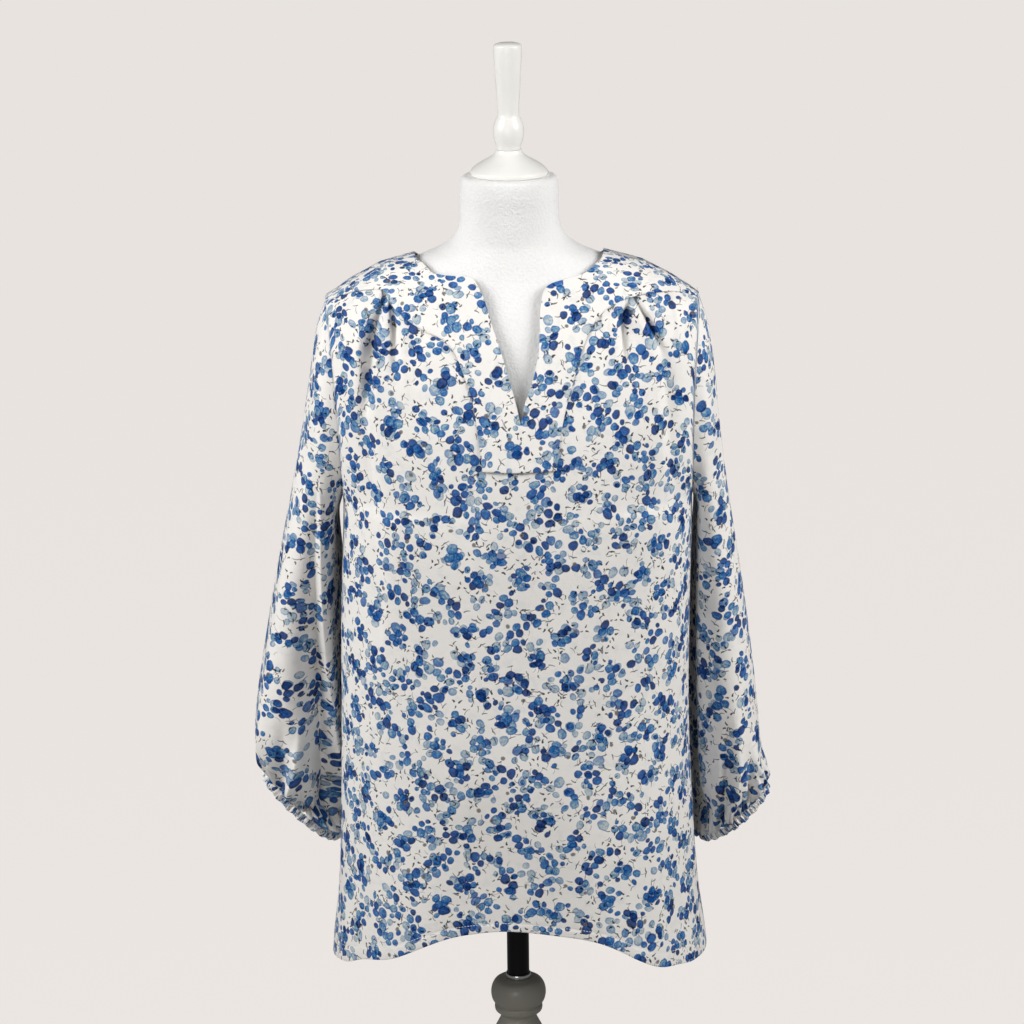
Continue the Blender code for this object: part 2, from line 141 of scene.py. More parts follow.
class Nodes:
    """The node tree of one material."""

    def __init__(self, name):
        self.material = bpy.data.materials.new(name)
        self.material.use_nodes = True
        self.tree = self.material.node_tree
        self.shader = self.tree.nodes["Principled BSDF"]

    def add(self, kind, settings=None, inputs=None, output=0):
        """A node of a kind: its settings first, then its sockets' values or links; one output."""
        node = self.tree.nodes.new(kind)
        for name, value in (settings or {}).items():
            if name == "stops":
                self.set_stops(node.color_ramp, value)
            else:
                setattr(node, name, value)
        self.feed(node, inputs or {})
        return Value(self, node.outputs[output])

    def feed(self, node, inputs):
        """Links or sets a node's inputs."""
        for name, value in inputs.items():
            if isinstance(value, Value):
                self.tree.links.new(value.socket, node.inputs[name])
            else:
                node.inputs[name].default_value = value

    def set_stops(self, ramp, stops):
        """A ramp's stops, as (place, colour) pairs."""
        while len(ramp.elements) < len(stops):
            ramp.elements.new(1.0)
        for element, (place, colour) in zip(ramp.elements, stops):
            element.position = place
            element.color = (*colour, 1)

    def output_of(self, value, name):
        """Another output of the node that a value comes from."""
        return Value(self, value.socket.node.outputs[name])

    def blend(self, share, low, high, kind="MIX"):
        """Two colours mixed by a share."""
        settings = {"data_type": "RGBA", "blend_type": kind}
        return self.add("ShaderNodeMix", settings, {0: share, 6: low, 7: high}, 2)

    def vector(self, operation, *terms):
        """Vector Math on links, vectors or, for SCALE, a number last."""
        if operation == "SCALE":
            inputs = {0: terms[0], 3: terms[1]}
        else:
            inputs = dict(enumerate(terms))
        return self.add("ShaderNodeVectorMath", {"operation": operation}, inputs)

    def parts(self, vector):
        """The x and y of a vector."""
        x = self.add("ShaderNodeSeparateXYZ", None, {0: vector})
        return x, self.output_of(x, "Y")

    def noise(self, point, scale, detail=2.0, roughness=0.5, dimensions="3D"):
        """Soft noise around 0.5, a blob for each 1/scale."""
        inputs = {"Vector": point, "Scale": scale, "Detail": detail, "Roughness": roughness}
        return self.add("ShaderNodeTexNoise", {"noise_dimensions": dimensions}, inputs)

    def finish(self, base, roughness, height=None, distance=0.0005, strength=1.0, **constants):
        """Feeds the shader: colour, roughness, a bump height in its own units, and constants."""
        inputs = {"Base Color": base, "Roughness": roughness}
        if height is not None:
            bump = {"Height": height, "Distance": distance, "Strength": strength}
            inputs["Normal"] = self.add("ShaderNodeBump", None, bump)
        inputs.update({name.replace("_", " "): value for name, value in constants.items()})
        self.feed(self.shader, inputs)
        return self.material


print("node helpers ready")

# %% [markdown]
# The print is sprays of small round berries in cobalt, mid blue and watery grey-blue, with dark
# bits of leaf and thin stems between them, on an off-white crepe. A printer repeats a painted
# screen. Here a few motifs are drawn as short tables, and a cell pattern scatters them:
# each cell's own point is a motif's middle, and the cell's random numbers turn the motif, drop
# some of its berries and choose their tones. The cells are wider than the motifs, so hardly one is
# cut, and a few such layers on turned grids hide the rows. The design is a generic one.

# %% Motifs
BARE_CLOTH = (0.880, 0.858, 0.826, 1)
BERRY_TONES = [
    (0.00, (0.002, 0.010, 0.045)),
    (0.20, (0.003, 0.030, 0.145)),
    (0.42, (0.004, 0.068, 0.300)),
    (0.60, (0.010, 0.130, 0.410)),
    (0.75, (0.065, 0.235, 0.460)),
    (0.88, (0.230, 0.365, 0.465)),
    (1.00, (0.450, 0.530, 0.570)),
]
# each berry: middle x and y and radius in millimetres, and the share of its cells that leave it out
SPRAY = [
    (-4.3, 0.8, 4.6, 0.05),
    (4.3, 2.6, 4.8, 0.10),
    (0.6, -6.4, 4.3, 0.25),
    (-8.6, -7.0, 3.3, 0.40),
    (10.8, -3.8, 3.5, 0.40),
]
KNOT = [
    (-3.8, -3.2, 4.9, 0.05),
    (4.5, -2.6, 4.1, 0.15),
    (0.4, 4.8, 4.5, 0.20),
    (-10.0, 3.0, 3.1, 0.45),
    (8.0, 6.8, 2.8, 0.45),
    (3.5, -10.4, 3.2, 0.40),
]
PALE_SPRAY = [
    (-4.2, 0.0, 5.0, 0.10),
    (4.8, 1.5, 4.5, 0.25),
    (0.5, -7.6, 3.8, 0.40),
    (-6.5, 8.2, 3.3, 0.40),
]
# each stroke, in millimetres: start x and y, end x and y, half width at its start, and side bow
SPRAY_STEMS = [
    (-3.0, 4.0, -10.5, 9.5, 0.34, 1.4),
    (5.0, 6.5, 7.5, 12.6, 0.30, -0.9),
    (7.5, 12.6, 3.8, 13.9, 0.80, 0.5),
    (7.5, 12.6, 10.9, 9.6, 0.75, -0.4),
    (-10.5, 9.5, -12.9, 5.6, 0.72, 0.4),
]
KNOT_STEMS = [
    (0.0, -7.0, -7.5, -11.5, 0.34, -1.2),
    (-7.5, -11.5, -11.6, -8.8, 0.80, 0.5),
    (8.5, 1.0, 13.4, 2.4, 0.30, 0.6),
    (-3.5, 8.0, -6.6, 12.8, 0.62, 0.5),
]
LEAF_PAIR = [
    (2.2, 0.0, 4.8, 1.2, 1.15, 0.3),
    (-2.0, 2.6, -3.2, 4.6, 1.05, -0.3),
    (-1.4, -3.0, -2.6, -5.0, 0.80, 0.4),
]
TWIG = [
    (-4.6, -0.4, 1.6, 0.8, 0.50, 1.2),
    (4.2, 2.4, 6.0, 4.2, 1.00, -0.3),
    (-2.4, 3.6, -3.4, 5.4, 0.90, 0.2),
]
# each layer of cells: spacing in millimetres, and its grid's turn, shift and unevenness
LAYERS = {
    "pale": (33.0, 0.3, 0.21, 0.12),
    "middle": (36.0, 1.4, 0.91, 0.15),
    "leaves": (16.5, 1.9, 0.77, 0.42),
    "twigs": (21.0, 2.6, 0.48, 0.38),
    "sprays": (35.0, 0.9, 0.35, 0.14),
    "knots": (34.0, 2.2, 0.63, 0.16),
    "dots": (31.0, 0.5, 0.15, 0.6),
}
# what is printed: motif, layer, share of its cells that show it, tones on the ramp or ink, opacity
DARK_INK = (0.006, 0.010, 0.022, 1)
TWIG_INK = (0.060, 0.058, 0.062, 1)
PALE_BERRIES = (
    (PALE_SPRAY, "pale", 0.95, (0.80, 1.0), 0.80),
    (PALE_SPRAY, "middle", 0.58, (0.55, 0.97), 0.90),
)
STEMS = (
    (TWIG, "twigs", 0.48, TWIG_INK, 0.85),
    (SPRAY_STEMS, "sprays", 0.95, DARK_INK, 0.85),
    (KNOT_STEMS, "knots", 0.95, DARK_INK, 0.85),
)
FULL_BERRIES = (
    (KNOT, "knots", 0.88, (0.24, 0.90), 0.96),
    (SPRAY, "sprays", 0.88, (0.26, 0.86), 0.96),
)
LEAVES = (
    (LEAF_PAIR, "leaves", 0.46, DARK_INK, 0.92),
)
DOT_RADIUS = 2.5
DOTS_SHOWN = 0.30


def switched(amount):
    """1 where an amount is above nothing and 0 elsewhere, with a step too steep to see."""
    return (amount * 1000).clamped()


def motif_cells(nodes, point, spacing, turn, shift, randomness):
    """The nearest motif's own x and y in millimetres, and three random numbers of its cell."""
    mapping = {"Vector": point, "Location": (shift, shift * 1.7, 0.0), "Rotation": (0.0, 0.0, turn),
               "Scale": (1 / spacing, 1 / spacing, 1.0)}
    placed = nodes.add("ShaderNodeMapping", None, mapping)
    settings = {"voronoi_dimensions": "2D", "feature": "F1"}
    inputs = {"Vector": placed, "Scale": 1.0, "Randomness": randomness}
    cell = nodes.add("ShaderNodeTexVoronoi", settings, inputs)
    away = nodes.vector("SUBTRACT", placed, nodes.output_of(cell, "Position"))
    luck = nodes.add("ShaderNodeSeparateColor", None, {0: nodes.output_of(cell, "Color")})
    lucks = (luck, nodes.output_of(luck, "Green"), nodes.output_of(luck, "Blue"))
    spin = {"Vector": nodes.vector("SCALE", away, spacing), "Angle": luck * 6.283}
    x, y = nodes.parts(nodes.add("ShaderNodeVectorRotate", {"rotation_type": "Z_AXIS"}, spin))
    return x, y, lucks


def berries(nodes, below, motif, cells, shown, tone_range, opacity, wobble, watery):
    """Berries of a motif over the colour below: each dark at its rim and lighter on one side.

    A berry is where the distance from its middle, made a little uneven by the wobble, is less
    than its radius. Its own luck moves it a little aside, sizes it and picks its tone on the ramp,
    and its lit side and its rim shift that tone.
    """
    x, y, (_, choice, tone_luck) = cells
    cell_shown = switched(shown - choice)
    for k, (middle_x, middle_y, radius, left_out) in enumerate(motif):
        luck = (tone_luck * (5.3 + 2.9 * k)).fraction()
        aside = (luck * 3.7).fraction() * 4.0 - 2.0
        across, along = (x - middle_x + aside) / radius, (y - middle_y - aside * 0.6) / radius
        reach = (across * across + along * along).root() * (luck * 0.35 + 0.86) + wobble
        kept = switched(luck - left_out) * cell_shown
        inside = ((1 - reach) * (radius * 1.3) + 0.5).clamped() * kept
        own_tone = (luck * 7.7).fraction() * (tone_range[1] - tone_range[0]) + tone_range[0]
        rim = ((reach - 0.66) * 2.6).clamped()
        tone = own_tone + (across * 0.6 + along * 0.5 + watery) * 0.16 - rim * 0.30
        paint = nodes.add("ShaderNodeValToRGB", {"stops": BERRY_TONES}, {0: tone})
        over = nodes.blend(0.30, paint, below, "MULTIPLY")
        below = nodes.blend(inside * opacity, below, over)
    return below


def strokes(nodes, below, motif, cells, shown, ink, opacity):
    """Ink strokes of a motif, each a bowed line that tapers from its start to its end."""
    x, y, (_, choice, _) = cells
    mask = None
    for start_x, start_y, end_x, end_y, half_width, bow in motif:
        length = math.hypot(end_x - start_x, end_y - start_y)
        way_x, way_y = (end_x - start_x) / length, (end_y - start_y) / length
        along = (x - start_x) * way_x + (y - start_y) * way_y
        off = (y - start_y) * way_x - (x - start_x) * way_y
        share = (along / length).clamped()
        bowed = off - share * (1 - share) * (4 * bow)
        beyond = along - share * length
        away = (bowed * bowed + beyond * beyond).root()
        ink_here = ((half_width * (1 - share * 0.5) - away) * 2.2 + 0.35).clamped()
        mask = ink_here if mask is None else mask.most(ink_here)
    return nodes.blend(mask * switched(shown - choice) * opacity, below, ink)


def berry_print(nodes, point, cloth):
    """The print from below up: pale berries, stems, full berries, bits of leaf and grey dots.

    Slow noise bends the point, so that the grids of cells don't run straight. Finer noise makes
    the berries' outlines uneven and their tones watery.
    """
    warp = nodes.add("ShaderNodeTexNoise", {"noise_dimensions": "2D"},
                     {"Vector": point, "Scale": 0.028, "Detail": 1.0}, "Color")
    bend = nodes.vector("SCALE", nodes.vector("SUBTRACT", warp, (0.5, 0.5, 0.0)), 9.0)
    point = nodes.vector("ADD", point, bend)
    wobble = (nodes.noise(point, 0.23, 1.0, 0.5, "2D") - 0.5) * 0.30
    watery = (nodes.noise(point, 0.36, 3.0, 0.7, "2D") - 0.5) * 5.5
    cells = {name: motif_cells(nodes, point, *grid) for name, grid in LAYERS.items()}
    colour = cloth
    for motif, name, shown, tones, opacity in PALE_BERRIES:
        colour = berries(nodes, colour, motif, cells[name], shown, tones, opacity, wobble, watery)
    for motif, name, shown, ink, opacity in STEMS:
        colour = strokes(nodes, colour, motif, cells[name], shown, ink, opacity)
    for motif, name, shown, tones, opacity in FULL_BERRIES:
        colour = berries(nodes, colour, motif, cells[name], shown, tones, opacity, wobble, watery)
    for motif, name, shown, ink, opacity in LEAVES:
        colour = strokes(nodes, colour, motif, cells[name], shown, ink, opacity)
    x, y, (_, choice, _) = cells["dots"]
    away = (x * x + y * y).root()
    dot = ((DOT_RADIUS - away) * 1.5).clamped() * switched(DOTS_SHOWN - choice)
    ink = nodes.blend((away * 0.5).clamped(), (0.055, 0.048, 0.045, 1), (0.20, 0.175, 0.16, 1))
    return nodes.blend(dot * 0.85, colour, ink)


print("motifs:", len(SPRAY) + len(KNOT) + len(PALE_SPRAY), "berries")

# %% [markdown]
# The cloth itself is a light viscose crepe. Close to, it shows a plain weave, thicker slub threads
# that run across it, and a fine crinkle. These are bump and a faint change of tone, on the cloth's
# own UV map in metres, so they run with the cut of each piece and not with the room.

# %% Cloth finish
def printed_cloth():
    """Berry print on an off-white slub crepe; the UV map is the cloth laid flat, in metres."""
    nodes = Nodes("berry_print_slub_cloth")
    flat = nodes.add("ShaderNodeUVMap", {"uv_map": "cloth"})
    point = nodes.vector("SCALE", flat, 1000.0)
    slub = nodes.noise(nodes.vector("MULTIPLY", point, (0.035, 1.3, 1.0)), 1.0, 3.0, 0.6, "2D")
    fleck = nodes.noise(nodes.vector("MULTIPLY", point, (1.1, 0.05, 1.0)), 1.0, 2.0, 0.6, "2D")
    crinkle = nodes.noise(point, 0.11, 3.0, 0.55, "2D")
    slubbed = ((slub - 0.5) * 1.2 + 0.4).clamped() * 0.30
    cloth = nodes.blend(slubbed, BARE_CLOTH, (0.800, 0.775, 0.735, 1))
    cloth = nodes.blend(((fleck - 0.55) * 2.0).clamped() * 0.20, cloth, (0.93, 0.92, 0.90, 1))
    stain = nodes.noise(point, 0.075, 2.0, 0.6, "2D")
    cloth = nodes.blend(((stain - 0.56) * 7).clamped() * 0.22, cloth, (0.62, 0.66, 0.68, 1))
    colour = berry_print(nodes, point, cloth)
    thread = nodes.noise(nodes.vector("MULTIPLY", point, (0.9, 2.1, 1.0)), 1.0, 1.0, 0.5, "2D")
    height = slub * 0.5 + fleck * 0.2 + thread * 0.25 + crinkle * 0.9
    rough = nodes.noise(point, 0.05, 1.0, 0.5, "2D") * 0.12 + 0.70
    return nodes.finish(colour, rough, height, 0.0011, 0.55, Sheen_Weight=0.02, Sheen_Roughness=0.45,
                        Specular_IOR_Level=0.12)


cloth_finish = printed_cloth()
print("cloth finish:", len(cloth_finish.node_tree.nodes), "nodes")

# %% [markdown]
# Every surface below is a grid of points: a row is a level line or a ring, a column a thread. One
# function turns such a grid into a mesh. It also lays the cloth's UV map, and closes the ends of a
# tube where asked. Rows that climb and columns that run to the right, as seen from outside, make
# faces that point outwards.

# %% Meshes from grids
ROLL_STEPS = 5


def grid_mesh(name, points, coords=None, wrap=False, capped=False):
    """Quads between neighbours of a grid; a wrapped grid joins its last column to its first."""
    rows, columns = points.shape[:2]
    across = columns if wrap else columns - 1
    row, column = np.meshgrid(np.arange(rows - 1), np.arange(across), indexing="ij")
    low = row * columns + column
    right = row * columns + (column + 1) % columns
    quads = np.stack([low, right, right + columns, low + columns], axis=-1).reshape(-1)
    starts = np.arange(quads.size // 4) * 4
    if capped:
        ring = np.arange(columns)
        top = ring + (rows - 1) * columns
        starts = np.concatenate([starts, [quads.size, quads.size + columns]])
        quads = np.concatenate([quads, ring[::-1], top])
    mesh = bpy.data.meshes.new(name)
    mesh.vertices.add(rows * columns)
    mesh.vertices.foreach_set("co", points.astype(np.float32).reshape(-1))
    mesh.loops.add(quads.size)
    mesh.loops.foreach_set("vertex_index", quads.astype(np.int32))
    mesh.polygons.add(starts.size)
    mesh.polygons.foreach_set("loop_start", starts.astype(np.int32))
    mesh.update(calc_edges=True)
    if coords is not None:
        corner = [coords[row, column], coords[row, column + 1],
                  coords[row + 1, column + 1], coords[row + 1, column]]
        flat = np.stack(corner, axis=2).reshape(-1)
        mesh.uv_layers.new(name="cloth").data.foreach_set("uv", flat.astype(np.float32))
    mesh.shade_smooth()
    piece = bpy.data.objects.new(name, mesh)
    bpy.context.scene.collection.objects.link(piece)
    return piece


def unit(vectors):
    """Vectors scaled to length one."""
    return vectors / np.maximum(np.linalg.norm(vectors, axis=-1, keepdims=True), 1e-9)


def grid_normals(points, wrap=False):
    """Normals of a grid: the cross product of its steps along rows and up columns."""
    if wrap:
        along = np.roll(points, -1, axis=1) - np.roll(points, 1, axis=1)
    else:
        along = np.gradient(points, axis=1)
    return unit(np.cross(along, np.gradient(points, axis=0)))


def rolled(points, coords, radius, under, wrap=False):
    """Turns the last row's edge under: a half circle of a radius, then a few rows back inside."""
    normal = grid_normals(points, wrap)
    off = points[-1] - points[-2]
    off = unit(off - np.sum(off * normal[-1], axis=-1, keepdims=True) * normal[-1])
    angle = np.linspace(0, math.pi, ROLL_STEPS + 1)[1:, None, None]
    bend = points[-1] + radius * (np.sin(angle) * off - (1 - np.cos(angle)) * normal[-1])
    back = (points - 2 * radius * normal)[-2:-2 - under:-1]
    edge = np.repeat(coords[-1:], ROLL_STEPS, axis=0)
    return np.concatenate([points, bend, back]), np.concatenate([coords, edge, coords[-2:-2 - under:-1]])


def add_cloth(name, points, coords, wall, wrap=False):
    """A cloth piece: its outer face through the points, and its wall inside that face."""
    piece = grid_mesh(name, points, coords, wrap)
    wall_modifier = piece.modifiers.new("wall", "SOLIDIFY")
    wall_modifier.thickness = wall
    wall_modifier.offset = -1
    piece.data.materials.append(cloth_finish)
    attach(piece, "root")
    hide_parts(name.replace("_cloth", ""))
    print(name, points.shape[:2], "grid")
    return piece


# %% [markdown]
# The body hangs from the shoulder line as one soft tube, cut into a front, a back and two yokes.
# Its level sections are squared ovals. A table gives their half widths and depths, and a smooth
# curve runs through its rows, so a section can be read at any height. On the real blouse the side
# seams and armholes come from the same cut.

# %% The body's form
def table(columns, rows):
    """Named columns of a table whose rows are in millimetres, in metres."""
    return {name: np.array(column) * MM for name, column in zip(columns.split(), zip(*rows))}


def flow(knots, values, where):
    """A smooth curve through knots and values: cubic between knots, with their mean slopes."""
    slopes = np.gradient(values, knots)
    low = np.clip(np.searchsorted(knots, where) - 1, 0, len(knots) - 2)
    span = knots[low + 1] - knots[low]
    t = np.clip((where - knots[low]) / span, 0.0, 1.0)
    start = (2 * t**3 - 3 * t**2 + 1) * values[low] + (t**3 - 2 * t**2 + t) * slopes[low] * span
    end = (3 * t**2 - 2 * t**3) * values[low + 1] + (t**3 - t**2) * slopes[low + 1] * span
    return start + end


def mix(start, end, share):
    """Straight blend."""
    return start + (end - start) * share


BODY = table("z left right front back", [
    (540, 199, 203, 128, 124),
    (590, 195, 199, 128, 122),
    (640, 189, 192, 127, 119),
    (740, 184, 185, 125, 114),
    (850, 181, 181, 124, 109),
    (960, 179, 182, 125, 105),
    (1072, 174, 184, 129, 101),
    (1120, 174, 182.5, 127, 102),
    (1160, 175.7, 182.7, 122, 102),
    (1200, 178.4, 184, 112, 100),
    (1250, 183.5, 187.5, 94, 91),
    (1277, 187, 190, 80, 81),
])
TOP = table("z front back", [
    (1277, 80, 81),
    (1300, 68, 70),
    (1320, 53, 56),
    (1335, 38, 42),
    (1345, 22, 25),
    (1352, 0, 0),
])
RIDGE = table("x z", [
    (0, 1352),
    (50, 1340),
    (97, 1322),
    (133, 1312),
    (163, 1296),
    (190, 1277),
])
CHEST_Z = 1100 * MM
TIP_Z = 1277 * MM
UNDERARM_Z = 1072 * MM
LEFT_TIP_X = 187 * MM
RIGHT_TIP_X = 190 * MM
ARMHOLE_HALF_DEPTH = 60 * MM
ARMHOLE_BOW = 4 * MM
BOW_END = 1 / 6
BODY_SQUARENESS = 2.4
RIDGE_ROUNDING = 0.42
ARMHOLE_TURN = 0.45
RISE_POWER = 2.2


def tip_x(x):
    """The shoulder tip's distance from the centre on the side that x is on."""
    return np.where(x > 0, RIGHT_TIP_X, LEFT_TIP_X)


def ridge_z(x):
    """Height of the shoulder line."""
    return np.interp(np.abs(x) / tip_x(x), RIDGE["x"] / RIDGE["x"][-1], RIDGE["z"])


def side_x(x, z):
    """Half width of the body at a height, up the side seam, the armhole and the shoulder."""
    body = np.where(x > 0, flow(BODY["z"], BODY["right"], z), flow(BODY["z"], BODY["left"], z))
    fraction = np.interp(z, RIDGE["z"][::-1], RIDGE["x"][::-1] / RIDGE["x"][-1])
    return np.where(z > TIP_Z, np.maximum(fraction * tip_x(x), MM), body)


def armhole_depth(z):
    """Half depth of the armhole's oval at a height; nothing above and below it."""
    middle = (TIP_Z + UNDERARM_Z) / 2
    reach = np.clip(np.abs(z - middle) / (TIP_Z - middle), 0.0, 1.0)
    return ARMHOLE_HALF_DEPTH * (1 - reach**RISE_POWER)**(1 / RISE_POWER)


# %% [markdown]
# Folds are drawn one by one. Each is a line down the cloth, given at a few heights, with a width on
# each of its sides and how far its crest stands out; less than nothing is a trough. A crest that
# is narrow on one side and wide on the other reads as a pleat that laps over, and a bell curve on
# both sides keeps it soft.

# %% Folds of the front and the back
FOLD = "z x left right rise"
FRONT_FOLDS = [table(FOLD, rows) for rows in (
    [(560, -122, 34, 36, 15), (700, -114, 34, 34, 8), (860, -105, 34, 30, 0)],
    [(560, 146, 36, 36, 16), (700, 140, 34, 36, 8), (880, 128, 30, 36, 0)],
    [(560, 15, 62, 62, -17), (680, 2, 60, 60, -9), (800, -15, 60, 60, 0)],
    [(620, -165, 16, 16, -7), (820, -168, 16, 16, -4), (1000, -172, 16, 16, 0)],
    [(640, 172, 16, 16, -7), (840, 174, 16, 16, -4), (1020, 176, 16, 16, 0)],
    [(920, -140, 9, 4, 0), (992, -137, 9, 4, -2.5), (1096, -138, 9, 3.5, -4), (1172, -145, 9, 3.5, -6),
     (1241, -139, 6, 3, -11), (1262, -135, 4, 2.6, -12), (1286, -127, 3, 2.5, -6)],
    [(900, -132, 4, 30, 0), (1000, -129, 4, 28, 4), (1096, -130, 4, 26, 6), (1172, -137, 4, 24, 7),
     (1241, -131, 4, 14, 8), (1262, -128, 3.5, 7, 8), (1286, -123, 3, 5, 4)],
    [(1180, -148, 8, 5, 0), (1235, -154, 8, 4.5, 7), (1269, -147, 6, 4, 9), (1290, -131, 5, 3, 4)],
    [(1205, -115, 5, 6, 0), (1242, -117, 4, 5, -5), (1262, -117, 2.6, 3.5, -11),
     (1285, -122, 2.5, 3.5, -6)],
    [(1180, -104, 6, 7, 0), (1225, -106, 4, 6, 4), (1262, -109, 3.5, 5, 7), (1274, -113, 3, 4, 3)],
    [(960, 170, 4, 8, 0), (1052, 167, 3.5, 9, -3), (1146, 157, 3.5, 9, -3.5), (1228, 150, 3, 8, -4),
     (1242, 146, 2.4, 4, -5), (1250, 143, 2.2, 2.8, -12), (1266, 134, 2.2, 2.8, -13),
     (1284, 124, 2.2, 2.8, -7)],
    [(930, 160, 28, 4, 0), (1052, 159, 26, 4, 5), (1146, 149, 24, 4, 6), (1230, 142, 16, 4, 7),
     (1252, 136, 10, 3.5, 9), (1268, 127, 6, 3, 9), (1284, 120, 4, 3, 4)],
    [(1222, 112, 5, 4, 0), (1248, 112, 4, 3, -7), (1263, 111, 3.5, 2.6, -10), (1285, 120, 3.5, 2.6, -5)],
    [(1190, 101, 7, 6, 0), (1235, 103, 6, 4, 4), (1262, 104, 5, 3.5, 7), (1276, 108, 4, 3, 3)],
    [(1170, 172, 9, 8, 0), (1220, 176, 9, 7, 6), (1265, 180, 7, 6, 5), (1280, 181, 6, 5, 1)],
    [(1215, -168, 7, 6, 0), (1255, -170, 6, 5, -3), (1283, -168, 5, 4, -3)],
    [(1215, 163, 7, 5, 0), (1258, 162, 6, 4, -3), (1284, 158, 5, 4, -3)],
    [(700, -40, 26, 22, 0), (860, -58, 24, 22, 3), (1010, -66, 22, 20, 2), (1100, -70, 20, 18, 0)],
    [(640, 84, 24, 26, 0), (800, 76, 24, 26, -3.5), (960, 84, 22, 24, -2), (1080, 92, 20, 20, 0)],
    [(560, -66, 20, 24, -5), (640, -64, 20, 24, -3), (760, -60, 20, 20, 0)],
    [(560, 88, 22, 20, -5), (650, 86, 20, 20, -2.5), (760, 82, 20, 20, 0)],
    [(560, -176, 10, 12, 6), (700, -176, 9, 11, 5), (900, -172, 8, 9, 3), (1040, -168, 8, 8, 0)],
    [(560, 180, 12, 10, 6), (700, 176, 11, 9, 5), (900, 172, 9, 8, 3), (1040, 174, 8, 8, 0)],
    [(880, 8, 1.6, 1.6, 0), (930, 9, 1.5, 1.5, 0.5), (1040, 13, 1.4, 1.4, 0.8), (1112, 17, 1.4, 1.4, 0.9),
     (1124, 17, 1.4, 1.4, 0.9)],
)]
BACK_FOLDS = [table(FOLD, rows) for rows in (
    [(560, -78, 36, 34, 13), (860, -70, 34, 34, 8), (1180, -60, 24, 24, 2)],
    [(560, 66, 38, 36, 12), (860, 60, 36, 36, 8), (1180, 52, 26, 26, 2)],
    [(560, -8, 30, 30, -9), (850, -6, 30, 30, -6), (1150, -5, 24, 24, -1)],
    [(560, -146, 26, 26, -9), (1050, -138, 22, 22, -2)],
    [(560, 140, 26, 26, -9), (1060, 132, 22, 22, -2)],
    [(980, -112, 9, 22, 0), (1120, -106, 7, 20, 4), (1200, -98, 6, 16, 3)],
    [(960, 118, 24, 8, 0), (1110, 108, 20, 6, 4), (1200, 96, 16, 6, 3)],
    [(1040, 20, 12, 10, 0), (1150, 18, 9, 8, 3), (1203, 16, 7, 6, 2)],
    [(1020, -28, 12, 12, 0), (1140, -30, 9, 9, 3), (1203, -29, 7, 7, 2)],
)]


def fold_rise(folds, x, z):
    """Sum of the folds: rise times a bell of the distance across, with a width for each side."""
    total = np.zeros_like(x)
    for fold in folds:
        away = x - np.interp(z, fold["z"], fold["x"])
        left = np.interp(z, fold["z"], fold["left"])
        right = np.interp(z, fold["z"], fold["right"])
        rise = np.interp(z, fold["z"], fold["rise"])
        total += rise * np.exp(-(away / np.where(away < 0, left, right))**2)
    return total


def drape(x, z, seed):
    """The small unevenness of hung cloth: a few slow waves, mostly running down."""
    waves = ((41, 7, 0.9), (67, -11, 0.6), (23, 5, 1.1), (97, 19, 0.35), (13, 31, 0.5))
    total = np.zeros_like(x)
    for k, (across, up, height) in enumerate(waves):
        total += height * MM * np.sin(across * x + up * z + 2.4 * k + seed)
    return total


def body_points(x, z, face, folds, lift=0.0):
    """Points of the hung cloth at x and z, on the front (face -1) or the back (face 1).

    A level section is a squared oval from the centre's depth to nothing at the side seam, or
    to the armhole's half depth between the underarm and the shoulder tip, and folds add to it.
    """
    side = side_x(x, z)
    name = "front" if face < 0 else "back"
    centre = np.where(z > TIP_Z, flow(TOP["z"], TOP[name], z), flow(BODY["z"], BODY[name], z))
    edge = armhole_depth(z)
    power = RIDGE_ROUNDING + ARMHOLE_TURN * edge / ARMHOLE_HALF_DEPTH
    reach = np.clip(np.abs(x) / side, 0.0, 1.0)
    oval = (1 - reach**BODY_SQUARENESS)**power
    depth = edge + (centre - edge) * oval + lift
    depth += (fold_rise(folds, x, z) + drape(x, z, face)) * np.minimum(1, 3 * oval)
    return np.stack([x, face * depth, z], axis=-1)


def flat_coords(x, z, face, folds):
    """Where each point lies on the flat cloth: lengths across from the centre and up from below.

    The length across is summed along the level line from the centre to the point, folds and all,
    and the length up is summed at the same share of the width.
    """
    steps = np.sin(np.linspace(0, math.pi / 2, 33))
    level = body_points(x[..., None] * steps, z[..., None] + 0 * steps, face, folds)
    across = np.sum(np.linalg.norm(np.diff(level, axis=2), axis=-1), axis=2) * np.sign(x)
    share = x / side_x(x, z)
    start_z = BODY["z"][0]
    climb_z = start_z + (z - start_z)[..., None] * steps
    climb_x = share[..., None] * side_x(share[..., None] + 0 * steps, climb_z)
    climb = body_points(climb_x, climb_z, face, [])
    up = np.sum(np.linalg.norm(np.diff(climb, axis=2), axis=-1), axis=2)
    return np.stack([across, up], axis=-1)


# %% [markdown]
# The front yoke is one piece that runs from shoulder tip to shoulder tip and down round the neck
# slit to a folded tab. A table gives its outer seam and its neck edge at stations along it, and
# where the thread that starts at that seam point meets the hem. The two corners of the tab stay
# sharp, because the smooth curve is broken there.

